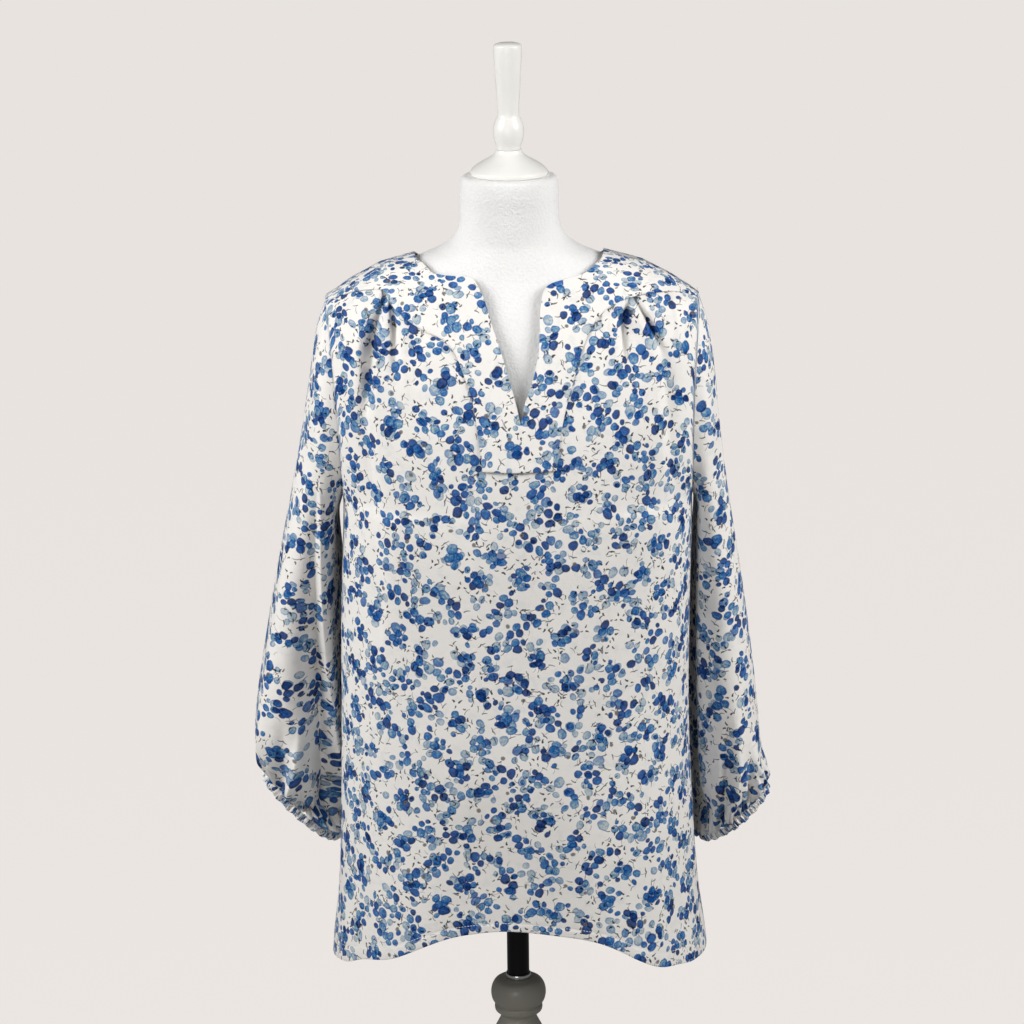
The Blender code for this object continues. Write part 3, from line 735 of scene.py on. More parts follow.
# %% Yoke, hem and neck tables
YOKE = table("seam_x seam_z neck_x neck_z hem_x", [
    (-187, 1277, -97, 1322, -194),
    (-180, 1280, -95, 1320, -193),
    (-169, 1285, -92, 1319, -188),
    (-152, 1291, -87, 1317, -179),
    (-127, 1294, -79, 1311, -167),
    (-118, 1282, -70, 1309, -155),
    (-106, 1271, -55, 1308, -142),
    (-87, 1260, -41, 1307, -129),
    (-67, 1251, -34, 1301, -116),
    (-55, 1238, -26, 1285, -103),
    (-47, 1219, -19, 1263, -90),
    (-40, 1200, -11, 1240, -77),
    (-35, 1174, -4, 1217, -63),
    (-32, 1150, 2, 1196, -48),
    (-29, 1125, 8, 1171, -32),
    (7, 1124, 8.6, 1169, 5),
    (43, 1125, 9.4, 1171, 42),
    (46, 1150, 13, 1188, 56),
    (50, 1172, 18, 1201, 69),
    (56, 1196, 24, 1219, 83),
    (63, 1218, 28, 1238, 96),
    (71, 1243, 29.5, 1258, 110),
    (82, 1264, 31, 1283, 123),
    (94, 1276, 38, 1299, 136),
    (109, 1283, 61, 1305, 149),
    (127, 1287, 73, 1308, 162),
    (151, 1288, 82, 1313, 176),
    (170, 1285, 88, 1317, 188),
    (182, 1280, 92, 1319, 197),
    (190, 1277, 95, 1323, 200),
])
TAB_CORNERS = (0, 14, 16, 29)
HEM = table("x front back", [
    (-200, 573, 571),
    (-165, 590, 569),
    (-133, 603, 566),
    (-100, 619, 563),
    (-60, 630, 561),
    (-30, 634, 560),
    (0, 633, 560),
    (35, 629, 560),
    (75, 622, 562),
    (105, 611, 564),
    (126, 600, 566),
    (150, 589, 568),
    (180, 581, 573),
    (205, 577, 577),
])
BACK_NECK = table("x z", [
    (-97, 1322),
    (-90, 1314),
    (-80, 1309),
    (-50, 1303),
    (0, 1300),
    (50, 1303),
    (80, 1309),
    (89, 1314),
    (96, 1322),
])
BACK_YOKE_Z = 1205 * MM


def cornered(values, where):
    """A curve through the yoke's stations, smooth between the tab's corners and sharp at them."""
    stations = np.arange(len(values), dtype=float)
    result = np.empty_like(where)
    for low, high in zip(TAB_CORNERS[:-1], TAB_CORNERS[1:]):
        inside = (where >= low) & (where <= high)
        result[inside] = flow(stations[low:high + 1], values[low:high + 1], where[inside])
    return result


def rise_of(x, z):
    """Height as a share that runs evenly over the shoulder: 0 at the chest, 1 on the ridge."""
    return 1 - np.maximum(1 - (z - CHEST_Z) / (ridge_z(x) - CHEST_Z), 0)**(1 / RISE_POWER)


def height_of(x, rise):
    """The height that a rise stands for."""
    return CHEST_Z + (1 - np.maximum(1 - rise, 0)**RISE_POWER) * (ridge_z(x) - CHEST_Z)


def strip(low_x, low_z, high_x, high_z, shares):
    """x and z between two edge curves, blended along x and rise, a row for each share."""
    share = shares[:, None]
    x = mix(low_x, high_x, share)
    z = height_of(x, mix(rise_of(low_x, low_z), rise_of(high_x, high_z), share))
    return x, z


def fit_sides(x, z):
    """Bends a panel's outer threads onto the side seams and armholes."""
    for column, sign in ((0, -1.0), (-1, 1.0)):
        edge = sign * side_x(np.full(len(z), sign), z[:, column])
        near = np.clip(np.abs(x) / np.abs(x[:, column:column + 1 or None]), 0, 1)**4
        x = x + (edge - x[:, column])[:, None] * near * (x * sign > 0)
    return x


# %% [markdown]
# The front is gathered into the yoke at the shoulders. Small pleats start at the seam on both
# sides of each gather point and die out within a hand's width. The grid's threads lie closest
# there, as each stretch between two stations of the seam has its own count of them. The print
# follows only the few wide folds, because a narrow pleat would shear it. The hem is a narrow
# double turn held by one row of stitches: the cloth is a little thicker below that row, and dips
# at it.

# %% Front
SEAM_GAP = 0.3 * MM
PANEL_WALL = 0.7 * MM
HEM_ROLL = 0.75 * MM
HEM_DEPTH = 7.2 * MM
HEM_DOUBLE = 0.35 * MM
HEM_STEP = 0.6 * MM
STITCH_DIP = 0.5 * MM
STITCH_DIP_REACH = 0.7 * MM
THREADS = np.repeat((8, 14, 10, 12, 8, 6, 10, 6, 8, 10, 12, 14, 18, 14, 8, 6),
                    (3, 1, 2, 2, 1, 5, 2, 5, 1, 1, 1, 1, 1, 1, 1, 1))
THREAD_STATIONS = np.append(np.repeat(np.arange(len(THREADS)), THREADS) + np.concatenate(
    [np.arange(count) / count for count in THREADS]), len(THREADS))
HEM_ROWS = np.array([0, 1.8, 3.6, 5.2, 6.4, 7.2, 8.0, 9.2, 11, 13.5, 17]) * MM
FRONT_LENGTH = 0.56
FRONT_ROWS = 132
WIDE_FOLDS = 5
GATHERS = ((4.6, 2.3), (24.6, 2.2))
GATHER_RISE = 3.0 * MM
GATHER_FADE = 30 * MM
GATHER_START = 4 * MM
SEAM_DIP = 1.1 * MM
SEAM_DIP_REACH = 5 * MM
SEAM_TUCK = 3 * MM
SEAM_TUCK_DEPTH = 1.6 * MM


def hem_first(length, count):
    """Shares up a panel of a length: close rows over the hem, then even ones."""
    first = HEM_ROWS / length
    return np.concatenate([first, np.linspace(first[-1], 1, count)[1:]])


def hem_relief(shares, length):
    """The hem's thickness below its stitches and the dip that they pull, for each row."""
    height = shares * length
    double = HEM_DOUBLE * (0.5 - 0.5 * np.tanh((height - HEM_DEPTH) / HEM_STEP))
    dip = STITCH_DIP * np.exp(-((height - HEM_DEPTH) / STITCH_DIP_REACH)**2)
    return (double - dip)[:, None]


def gather_relief(station, length_to_seam):
    """Small pleats at the gathered stretches of the yoke seam, which fade down the thread.

    GATHERS gives each stretch's middle and width in stations. All along the seam the cloth also
    dips a little, as it goes in under the yoke.
    """
    gathered = sum(np.exp(-((station - middle) / width)**2) for middle, width in GATHERS)
    wave = np.sin(6.9 * station + 0.9 * np.sin(1.7 * station)) + 0.6 * np.sin(11.3 * station + 1.1)
    fade = np.exp(-(length_to_seam / GATHER_FADE)**1.2)
    start = 1 - np.exp(-(length_to_seam + 1 * MM) / GATHER_START)
    dip = SEAM_DIP * np.exp(-(length_to_seam / SEAM_DIP_REACH)**2)
    return GATHER_RISE * gathered * wave * fade * start - dip


def front_surface():
    """The front's points and flat coordinates, from the hem up to the yoke seam."""
    stations = THREAD_STATIONS
    seam_x, seam_z, hem_x = (cornered(YOKE[name], stations) for name in ("seam_x", "seam_z", "hem_x"))
    hem_z = flow(HEM["x"], HEM["front"], hem_x)
    shares = hem_first(FRONT_LENGTH, FRONT_ROWS)
    x, z = strip(hem_x, hem_z, seam_x, seam_z, shares)
    x = fit_sides(x, z)
    relief = gather_relief(stations[None], (1 - shares[:, None]) * FRONT_LENGTH)
    points = body_points(x, z, -1, FRONT_FOLDS, relief + hem_relief(shares, FRONT_LENGTH))
    points[:, [0, -1], 1] = np.minimum(points[:, [0, -1], 1], -SEAM_GAP)
    return points, flat_coords(x, z, -1, FRONT_FOLDS[:WIDE_FOLDS])


def tucked(points, coords, beyond, depth):
    """Adds rows that carry the last one on under its neighbour: beyond, at a depth below it."""
    normal = grid_normals(points)[-1]
    off = unit(points[-1] - points[-2])
    shares = np.array([0.35, 1.0])[:, None, None]
    rows = points[-1] + off * beyond * shares - normal * depth * shares**0.5
    return np.concatenate([points, rows]), np.concatenate([coords, np.repeat(coords[-1:], 2, axis=0)])


front_points, front_coords = front_surface()
front_points, front_coords = tucked(front_points, front_coords, SEAM_TUCK, SEAM_TUCK_DEPTH)
turned_points, turned_coords = rolled(front_points[::-1, ::-1], front_coords[::-1, ::-1], HEM_ROLL, 4)
front = add_cloth("front_cloth", turned_points, turned_coords, PANEL_WALL)

# %% [markdown]
# The yoke is cut double, so it is flatter and crisper than the front, and stands a little proud
# of it. Its cloth is cut the other way of the grain, so the print turns on it. Both of its long
# edges are folded under, which a rolled edge shows as a soft round rim.

# %% Front yoke
YOKE_WALL = 0.9 * MM
YOKE_STAND = 1.5 * MM
YOKE_ROLL = 0.95 * MM
YOKE_ROWS = 25
YOKE_PRINT_SHIFT = (0.37, 0.83)
TAB_MIDDLE = 15
TAB_HALF_WIDTH = 1.6
TAB_LIFT = 1.6 * MM


def turned_print(coords, shift):
    """Coordinates for cloth cut across the grain: turned a quarter, and moved along the roll."""
    return np.stack([coords[..., 1], -coords[..., 0]], axis=-1) + np.array(shift)


def front_yoke_surface():
    """The front yoke's points and flat coordinates, from its outer seam to the neck edge.

    It stands out from the body's form, and a little more at the lower end of its tab, whose
    middle and half width are given in stations.
    """
    stations = THREAD_STATIONS
    edges = [cornered(YOKE[name], stations) for name in ("seam_x", "seam_z", "neck_x", "neck_z")]
    shares = np.linspace(0, 1, YOKE_ROWS)
    x, z = strip(*edges, shares)
    points = body_points(x, z, -1, [])
    tab = np.exp(-((stations - TAB_MIDDLE) / TAB_HALF_WIDTH)**4)
    stand = YOKE_STAND + TAB_LIFT * tab * (1 - shares[:, None])**2
    points = points + grid_normals(points) * stand[..., None]
    points[:, [0, -1], 1] = np.minimum(points[:, [0, -1], 1], -SEAM_GAP)
    return points, turned_print(flat_coords(x, z, -1, []), YOKE_PRINT_SHIFT)


yoke_points, yoke_coords = front_yoke_surface()
yoke_points, yoke_coords = rolled(yoke_points, yoke_coords, YOKE_ROLL, 5)
yoke_points, yoke_coords = rolled(yoke_points[::-1, ::-1], yoke_coords[::-1, ::-1], YOKE_ROLL, 2)
front_yoke = add_cloth("front_yoke_cloth", yoke_points, yoke_coords, YOKE_WALL)

# %% [markdown]
# Nothing of the back shows from the front, so it is finished plainly: a straight back yoke, and a
# back that hangs from it in a few wide folds like those of the front, a little longer.

# %% Back and back yoke
BACK_LENGTH = 0.645
BACK_ROWS = 92
BACK_YOKE_ROWS = 33
BACK_THREADS = 150
BACK_PRINT_SHIFT = (1.1, 0.4)
BACK_YOKE_PRINT_SHIFT = (0.9, 1.7)
SETTLE = 0.14
SETTLE_Z = 1265 * MM
SETTLE_RISE = 42 * MM


def across(count):
    """Shares from -1 to 1 across a panel, closer together towards its sides."""
    angle = np.linspace(-1, 1, count + 1) * math.pi / 2
    return np.sign(angle) * np.abs(np.sin(angle))**(2 / BODY_SQUARENESS)


def back_seam(share):
    """The seam between the back and its yoke."""
    z = np.full_like(share, BACK_YOKE_Z)
    return share * side_x(share, z), z


def back_surface():
    """The back's points and flat coordinates, from the hem up to its yoke."""
    share = across(BACK_THREADS)
    hem_x = share * np.where(share > 0, YOKE["hem_x"][-1], -YOKE["hem_x"][0])
    hem_z = flow(HEM["x"], HEM["back"], hem_x)
    shares = hem_first(BACK_LENGTH, BACK_ROWS)
    seam_x, seam_z = back_seam(share)
    x, z = strip(hem_x, hem_z, seam_x, seam_z, shares)
    x = fit_sides(x, z)
    points = body_points(x, z, 1, BACK_FOLDS, hem_relief(shares, BACK_LENGTH))
    points[:, [0, -1], 1] = np.maximum(points[:, [0, -1], 1], SEAM_GAP)
    return points, flat_coords(x, z, 1, BACK_FOLDS) + np.array(BACK_PRINT_SHIFT)


def back_yoke_surface():
    """The back yoke's points and flat coordinates, up to the shoulder line and the back neck.

    Its top sinks a little behind the shoulder line, in proportion to how far back it lies.
    """
    share = across(BACK_THREADS)
    seam_x, seam_z = back_seam(share)
    high_x = share * tip_x(share)
    inside = (high_x > BACK_NECK["x"][0]) & (high_x < BACK_NECK["x"][-1])
    high_z = np.where(inside, flow(BACK_NECK["x"], BACK_NECK["z"], high_x), ridge_z(high_x))
    x, z = strip(seam_x, seam_z, high_x, high_z, np.linspace(0, 1, BACK_YOKE_ROWS))
    points = body_points(x, z, 1, [])
    points[..., 1] = np.maximum(points[..., 1], SEAM_GAP)
    normal = grid_normals(points[:, ::-1])[:, ::-1]
    high = np.clip((z - SETTLE_Z) / SETTLE_RISE, 0, 1)
    points[..., 2] -= SETTLE * points[..., 1] * high**2 * (3 - 2 * high)
    coords = turned_print(flat_coords(x, z, 1, []), BACK_YOKE_PRINT_SHIFT)
    return points + normal * YOKE_STAND, coords


back_points, back_coords = back_surface()
turned_points, turned_coords = rolled(back_points[::-1], back_coords[::-1], HEM_ROLL, 4)
back = add_cloth("back_cloth", turned_points, turned_coords, PANEL_WALL)
back_yoke_points, back_yoke_coords = back_yoke_surface()
back_yoke_points, back_yoke_coords = rolled(
    back_yoke_points[:, ::-1], back_yoke_coords[:, ::-1], YOKE_ROLL, 3)
back_yoke = add_cloth("back_yoke_cloth", back_yoke_points, back_yoke_coords, YOKE_WALL)

# %% [markdown]
# An empty sleeve hangs from the armhole as a soft tube and swells above the cuff, where its
# width is gathered into elastic. Its rings are slanted ovals from a table. Folds run down it at
# angles round the ring, and the gathers are sharp troughs between round ridges, uneven in width.
# The rings lie closer together near the cuff, where the surface changes fastest.

# %% Sleeves
SLEEVE_COLUMNS = "outer_x outer_z outer_y inner_x inner_z inner_y half_depth"
LEFT_SLEEVE = table(SLEEVE_COLUMNS, [
    (-187, 1277, 0, -174, 1072, 0, 60),
    (-198, 1243, 2, -179, 1052, 14, 65),
    (-206, 1195, 7, -180, 1026, 30, 68),
    (-216, 1136, 14, -178, 988, 44, 68),
    (-231, 1060, 20, -177, 940, 54, 68),
    (-247, 985, 25, -177, 892, 58, 69),
    (-260, 913, 28, -177, 842, 60, 71),
    (-271, 845, 30, -178, 786, 60, 73),
    (-274, 803, 32, -180, 742, 59, 72),
    (-271, 778, 34, -183, 706, 56, 61),
    (-262, 763, 36, -184, 684, 48, 41),
])
RIGHT_SLEEVE = table(SLEEVE_COLUMNS, [
    (190, 1277, 0, 184, 1072, 0, 60),
    (201, 1243, 2, 188, 1052, 14, 65),
    (207, 1195, 7, 187, 1026, 30, 68),
    (213, 1136, 14, 185, 988, 46, 68),
    (223, 1060, 20, 183, 940, 56, 68),
    (235, 985, 25, 181, 892, 60, 69),
    (245, 913, 28, 181, 842, 62, 70),
    (253, 845, 30, 183, 784, 62, 71),
    (258, 793, 32, 186, 736, 61, 72),
    (265, 760, 34, 189, 702, 57, 64),
    (263, 744, 36, 191, 681, 49, 48),
])
SLEEVE_SQUARENESS = 1.9
SLEEVE_SIDES = 288
SLEEVE_STEPS = 112
SLEEVE_TUCK = 3.5 * MM
SLEEVE_RADII = (48 * MM, 70 * MM)
SWELLS = 26
SWELL_RISE = 5.4 * MM
RIPPLES = 54
RIPPLE_RISE = 3.5 * MM
DRAWN_IN = 2.0 * MM
UNEVEN_RISE = 0.9 * MM
PUFF_OVER = 2.5 * MM
ARMHOLE_EASE = 0.012
HEAD_RISE = 3.0 * MM
HEAD_DEGREES = 125

# each fold is a list of places: share down the sleeve, degrees round it (90 is the outer side,
# 0 the front, -90 the side at the body), widths in degrees towards the body and away from it,
# and rise in millimetres
SLEEVE_FOLDS = {
    "left": (
        [(0.24, 2, 20, 6, 0), (0.35, -7, 22, 4, 6), (0.55, -30, 24, 4, 10), (0.80, -58, 22, 4, 13),
         (0.92, -72, 14, 5, 3)],
        [(0.26, 10, 4, 12, 0), (0.38, 3, 4, 16, -5), (0.55, -20, 4, 28, -13), (0.80, -44, 5, 36, -18),
         (0.93, -52, 5, 20, -4)],
        [(0.30, 44, 34, 22, 0), (0.50, 44, 34, 17, 6), (0.76, 45, 34, 15, 8), (0.90, 48, 20, 14, 2)],
        [(0.62, -8, 10, 9, 0), (0.78, 4, 8, 6, 11), (0.92, 17, 7, 5, 13), (0.985, 22, 5, 4, 5)],
        [(0.74, -80, 9, 12, 0), (0.87, -50, 5, 26, -15), (0.95, -18, 4, 18, -17), (0.985, -4, 4, 8, -8)],
        [(0.82, -100, 14, 8, 0), (0.88, -72, 14, 7, 9), (0.95, -38, 10, 6, 11), (0.985, -24, 8, 5, 5)],
        [(0.66, 22, 9, 9, 0), (0.80, 22, 9, 10, -10), (0.92, 33, 8, 9, -14), (0.985, 37, 5, 6, -7)],
        [(0.55, 60, 16, 14, 0), (0.74, 54, 14, 12, 5), (0.90, 62, 9, 8, 6), (0.985, 66, 6, 6, 1)],
        [(0.02, 70, 12, 12, 0), (0.10, 66, 11, 12, -3), (0.30, 58, 14, 14, -3), (0.44, 50, 16, 12, 0)],
        [(0.20, 200, 20, 24, 0), (0.50, 208, 20, 26, 6), (0.85, 214, 18, 20, 5), (1.0, 214, 12, 14, 0)],
        [(0.35, 150, 20, 20, 0), (0.65, 142, 18, 18, -5), (0.9, 138, 16, 16, 0)],
    ),
    "right": (
        [(0.20, -32, 10, 18, 0), (0.45, -36, 8, 20, 5), (0.70, -40, 8, 20, 6), (0.90, -44, 8, 12, 3),
         (0.96, -44, 8, 8, 0)],
        [(0.16, -56, 14, 9, 0), (0.45, -58, 14, 8, -13), (0.75, -60, 14, 8, -12), (0.94, -60, 10, 8, -2)],
        [(0.05, 80, 12, 14, 0), (0.20, 76, 12, 12, 4), (0.45, 72, 14, 12, 3), (0.70, 72, 14, 12, 0)],
        [(0.02, 40, 8, 12, 0), (0.12, 44, 8, 10, -3), (0.34, 46, 10, 12, -3), (0.5, 46, 12, 12, 0)],
        [(0.64, 24, 14, 10, 0), (0.80, 20, 9, 8, 7), (0.92, 0, 6, 5, 9), (0.985, -6, 4, 4, 3)],
        [(0.68, 4, 10, 10, 0), (0.83, -6, 8, 7, -9), (0.93, -20, 5, 5, -10), (0.985, -24, 4, 4, -3)],
        [(0.74, 56, 12, 9, 0), (0.86, 50, 8, 6, 8), (0.94, 40, 5, 5, 10), (0.985, 36, 4, 4, 3)],
        [(0.76, 40, 8, 8, 0), (0.87, 34, 6, 6, -9), (0.94, 24, 5, 5, -10), (0.985, 20, 4, 4, -3)],
        [(0.84, 72, 7, 6, 0), (0.92, 66, 5, 5, 5), (0.985, 60, 4, 4, 1)],
        [(0.78, -54, 20, 16, 0), (0.89, -50, 20, 14, -14), (0.96, -48, 16, 12, -5),
         (0.99, -48, 14, 12, 0)],
        [(0.20, 205, 20, 24, 0), (0.55, 210, 20, 26, 6), (0.85, 216, 18, 20, 4), (1.0, 216, 12, 14, 0)],
        [(0.35, 150, 20, 20, 0), (0.65, 144, 18, 18, -5), (0.9, 140, 16, 16, 0)],
    ),
}


def sleeve_folds(side, share, degrees):
    """Sum of a sleeve's folds over the share down it and the degrees round it."""
    total = np.zeros(np.broadcast(share, degrees).shape)
    for rows in SLEEVE_FOLDS[side]:
        knots, at, towards, away, rise = np.array(rows).T
        turn = (degrees - np.interp(share, knots, at) + 180) % 360 - 180
        width = np.where(turn < 0, np.interp(share, knots, towards), np.interp(share, knots, away))
        total += np.interp(share, knots, rise) * MM * np.exp(-(turn / width)**2)
    return total


def ridges(turn, count, seed):
    """Round ridges between sharp troughs round a ring, uneven in width, from -1 to 1."""
    uneven = turn + 0.11 * np.sin(3 * turn + seed) + 0.05 * np.sin(7 * turn + 2 * seed)
    height = 0.72 + 0.28 * np.sin(5 * turn + 3 * seed)
    return (2 * np.abs(np.sin(count / 2 * uneven + seed))**0.75 - 1) * height


def cuff_way(rows):
    """The direction out of the sleeve's slanted end, square to its chord."""
    chord_x = rows["inner_x"][-1] - rows["outer_x"][-1]
    chord_z = rows["inner_z"][-1] - rows["outer_z"][-1]
    return unit(np.array([abs(chord_z) * math.copysign(1, -chord_x), 0, -abs(chord_x)]))


def sleeve_frame(rows, share, turn):
    """Ring centres, and the ways out from them to the ring: a point is the sum of both."""
    knots = np.linspace(0, 1, len(rows["half_depth"]))
    section = {name: flow(knots, values, share)[:, None] for name, values in rows.items()}
    power = 2 / mix(RISE_POWER, SLEEVE_SQUARENESS, share**0.5)[:, None]
    out = np.sign(np.cos(turn)) * np.abs(np.cos(turn))**power
    side = np.sign(np.sin(turn)) * np.abs(np.sin(turn))**power
    inner = np.stack([section[name] for name in ("inner_x", "inner_y", "inner_z")], axis=-1)
    outer = np.stack([section[name] for name in ("outer_x", "outer_y", "outer_z")], axis=-1)
    depth = section["half_depth"][..., None] * np.array([0.0, 1.0, 0.0])
    centre = (inner + outer) / 2
    reach = (outer - inner) / 2 * out[..., None] + depth * side[..., None]
    bow = ARMHOLE_BOW * np.clip(1 - share / BOW_END, 0, 1)[:, None] * (1 - out**2)
    reach[..., 0] -= math.copysign(1, rows["outer_x"][0]) * bow
    return centre, reach


def tube_coords(points, axis, radii):
    """Flat coordinates of a tube: length down its axis, and the arc round an oval of its radii."""
    around = np.concatenate([points, points[:, :1]], axis=1)
    middle = points.mean(axis=1, keepdims=True)
    down = np.sum(around * axis, axis=-1)
    out = unit(np.cross(axis, np.array([0.0, 1.0, 0.0])))
    line = points.mean(axis=(0, 1))
    across_way = np.sum((around - line) * out, axis=-1)
    deep_way = (around - middle)[..., 1]
    angle = np.unwrap(np.arctan2(deep_way / radii[1], across_way / radii[0]), axis=1)
    steps = np.linspace(-2 * math.pi, 4 * math.pi, 721)
    speed = np.hypot(radii[0] * np.sin(steps), radii[1] * np.cos(steps))
    arc = np.concatenate([[0], np.cumsum((speed[1:] + speed[:-1]) / 2 * np.diff(steps))])
    return np.stack([np.interp(angle, steps, arc), -down], axis=-1)


def sleeve_surface(side, rows, seed):
    """A sleeve's points and flat coordinates, from the cuff seam up to the armhole.

    Wide ridges swell above the cuff and fine ones grow towards the seam. The last rings draw in,
    so that the cloth puffs over the elastic. Behind the shoulder the sleeve's head stands up a
    little against the yoke, and its first rings tuck in under the body's cloth.
    """
    share = 1 - (1 - np.linspace(0, 1, SLEEVE_STEPS + 1))**1.4
    turn = math.pi + np.arange(SLEEVE_SIDES) * 2 * math.pi / SLEEVE_SIDES
    centre, reach = sleeve_frame(rows, share, turn)
    degrees = np.degrees(np.arctan2(np.cos(turn), -np.sin(turn)))[None]
    down = share[:, None]
    drawn = np.exp((down - 1) / 0.016)
    swell = np.clip((down - 0.80) / 0.16, 0, 1)**1.3 * (1 - 0.7 * drawn)
    fine = np.clip((down - 0.84) / 0.14, 0, 1)
    relief = sleeve_folds(side, down, degrees)
    relief += SWELL_RISE * swell * ridges(turn, SWELLS, seed)[None]
    relief += RIPPLE_RISE * fine * ridges(turn, RIPPLES, seed + 1.3)[None] - DRAWN_IN * drawn
    relief += HEAD_RISE * np.exp(-down / 0.05 - ((degrees - HEAD_DEGREES) / 45)**2)
    relief += UNEVEN_RISE * np.sin(9 * down + 3 * turn + seed) * down
    overhang = PUFF_OVER * np.exp((down - 1) / 0.03)
    points = centre + reach + unit(reach) * relief[..., None] + overhang[..., None] * cuff_way(rows)
    sign = math.copysign(1, rows["outer_x"][0])
    tuck = np.clip(1 - share / ARMHOLE_EASE, 0, 1)[:, None]
    points[..., 0] -= sign * SLEEVE_TUCK * tuck
    inwards = centre + (points - centre) * np.array([1, 0.975, 0.985])
    points = mix(points, inwards, tuck[..., None])
    points = points[::-1, ::-1] if sign < 0 else points[::-1]
    axis = unit(points[-1].mean(axis=0) - points[0].mean(axis=0))
    return points, tube_coords(points, -axis, SLEEVE_RADII) + np.array([seed, 2 * seed])


# %% [markdown]
# The cuff is a narrow casing with elastic in it. The elastic pulls the band into dense ripples
# that run across it, and the sleeve's own gathers meet them at the seam.

# %% Cuffs
CUFF_BAND = 8.2 * MM
CUFF_GAP = PUFF_OVER + 0.1 * MM
CUFF_WALL = 0.6 * MM
CUFF_RADII = (150 * MM, 218 * MM)
CUFF_SIDES = 432
CUFF_ROLL = 0.8 * MM
CASING_SWELL = 1.3 * MM
CASING_SINK = 3.8 * MM
CASING_FLARE = 0.9 * MM
CUFF_RIPPLE = 3.4 * MM
FRILL = 0.8 * MM


def cuff_surface(rows, seed):
    """A cuff's points and flat coordinates, carried on from the sleeve's end on its own way.

    The casing lies a little inside the sleeve's end, swells between its edges and flares at the
    lower one. Its ripples carry on those of the sleeve's end and sway a little.
    """
    turn = math.pi + np.arange(CUFF_SIDES) * 2 * math.pi / CUFF_SIDES
    centre, reach = sleeve_frame(rows, np.array([1.0]), turn)
    away = cuff_way(rows)
    travel = np.linspace(0, 1, 13)[:, None]
    casing = CASING_SWELL * np.sin(travel * math.pi)**0.7 - CASING_SINK + CASING_FLARE * travel**4
    depth = 0.75 + 0.35 * np.sin(travel * math.pi)
    sway = 0.012 * np.sin(9 * turn) * travel
    ripple = CUFF_RIPPLE * depth * ridges(turn + sway, RIPPLES, seed + 1.3)
    points = centre + reach + unit(reach) * (casing + ripple)[..., None]
    frill = FRILL * np.sin(19 * turn + seed)[None] * travel
    points = points + (CUFF_GAP + travel * CUFF_BAND + frill)[..., None] * away
    flip = rows["outer_x"][0] < 0
    points = points[::-1, ::-1] if flip else points[::-1]
    coords = tube_coords(points, -away, CUFF_RADII) + np.array([seed, 3 * seed])
    coords = coords[::-1, ::-1][:, :-1]
    points, coords = rolled(points[::-1, ::-1], coords, CUFF_ROLL, 6, True)
    last = coords[:, -1:] * 2 - coords[:, -2:-1]
    return points, np.concatenate([coords, last], axis=1)


cloth_pieces = {"front": front, "front_yoke": front_yoke, "back": back, "back_yoke": back_yoke}
for side, rows, seed in (("left", LEFT_SLEEVE, 0.53), ("right", RIGHT_SLEEVE, 1.87)):
    name = "sleeve_" + side
    surface = sleeve_surface(side, rows, seed)
    cloth_pieces[name] = add_cloth(name + "_cloth", *surface, PANEL_WALL, wrap=True)
    name = "cuff_" + side
    surface = cuff_surface(rows, seed)
    cloth_pieces[name] = add_cloth(name + "_cloth", *surface, CUFF_WALL, wrap=True)

# %% [markdown]
# The dress form is padded and covered with a white pebbled jersey. Its rings are squared ovals
# that become round at the neck. The cover's surface is small bumps close together, with a soft
# unevenness below them, and painted shade darkens the hollows between the bumps.

# %% Form
TORSO = table("z half front back", [
    (700, 140, 92, 84),
    (712, 152, 104, 94),
    (780, 159, 111, 98),
    (850, 148, 104, 92),
    (915, 138, 99, 87),
    (1000, 150, 111, 91),
    (1070, 163, 121, 94),
    (1120, 165, 120, 95),
    (1170, 166, 112, 94),
    (1220, 167, 97, 89),
    (1250, 168, 86, 84),
    (1271, 163, 76, 76),
    (1288, 148, 66, 68),
    (1301, 127, 59, 62),
    (1312, 107, 55, 58),
    (1318.5, 91, 53, 55),
    (1325, 75, 51, 53),
    (1333, 62.5, 49, 51),
    (1346, 52.5, 49, 50),
    (1366, 50, 49, 49),
    (1392, 49.5, 49.5, 49.5),
    (1398, 48, 48, 48),
    (1400, 45, 45, 45),
])
TORSO_SQUARENESS = 2.5
TORSO_LOW, TORSO_TOP = 0.700, 1.400
NECK_BLEND = (1.300, 1.346)
TORSO_ROWS = 150
TORSO_SIDES = 144
RIM_Z = 1390 * MM


def object_point(nodes):
    """A point in the object's own metres."""
    return nodes.add("ShaderNodeTexCoord", None, None, "Object")


def jersey_cover():
    """White jersey with a pebbled face; its colour carries painted shade, darker in the hollows between
    the pebbles.
    """
    nodes = Nodes("white_jersey_cover")
    point = object_point(nodes)
    pebble = nodes.add("ShaderNodeTexVoronoi", {"feature": "SMOOTH_F1"},
                       {"Vector": point, "Scale": 420.0, "Smoothness": 0.6})
    uneven = nodes.noise(point, 90.0, 3.0)
    cloud = nodes.noise(point, 9.0, 2.0)
    colour = nodes.blend(cloud * 0.5 + uneven * 0.3, (0.82, 0.82, 0.81, 1), (0.89, 0.89, 0.885, 1))
    # painted shade: the colour darkens in the hollows between the pebbles, where their bump sinks
    colour = nodes.blend((pebble * 0.8).clamped(), colour, (0.78, 0.78, 0.775, 1))
    height = uneven * 0.7 - pebble * 0.8
    return nodes.finish(colour, 0.86 + cloud * 0.08, height, 0.0012, 0.6, Sheen_Weight=0.2)


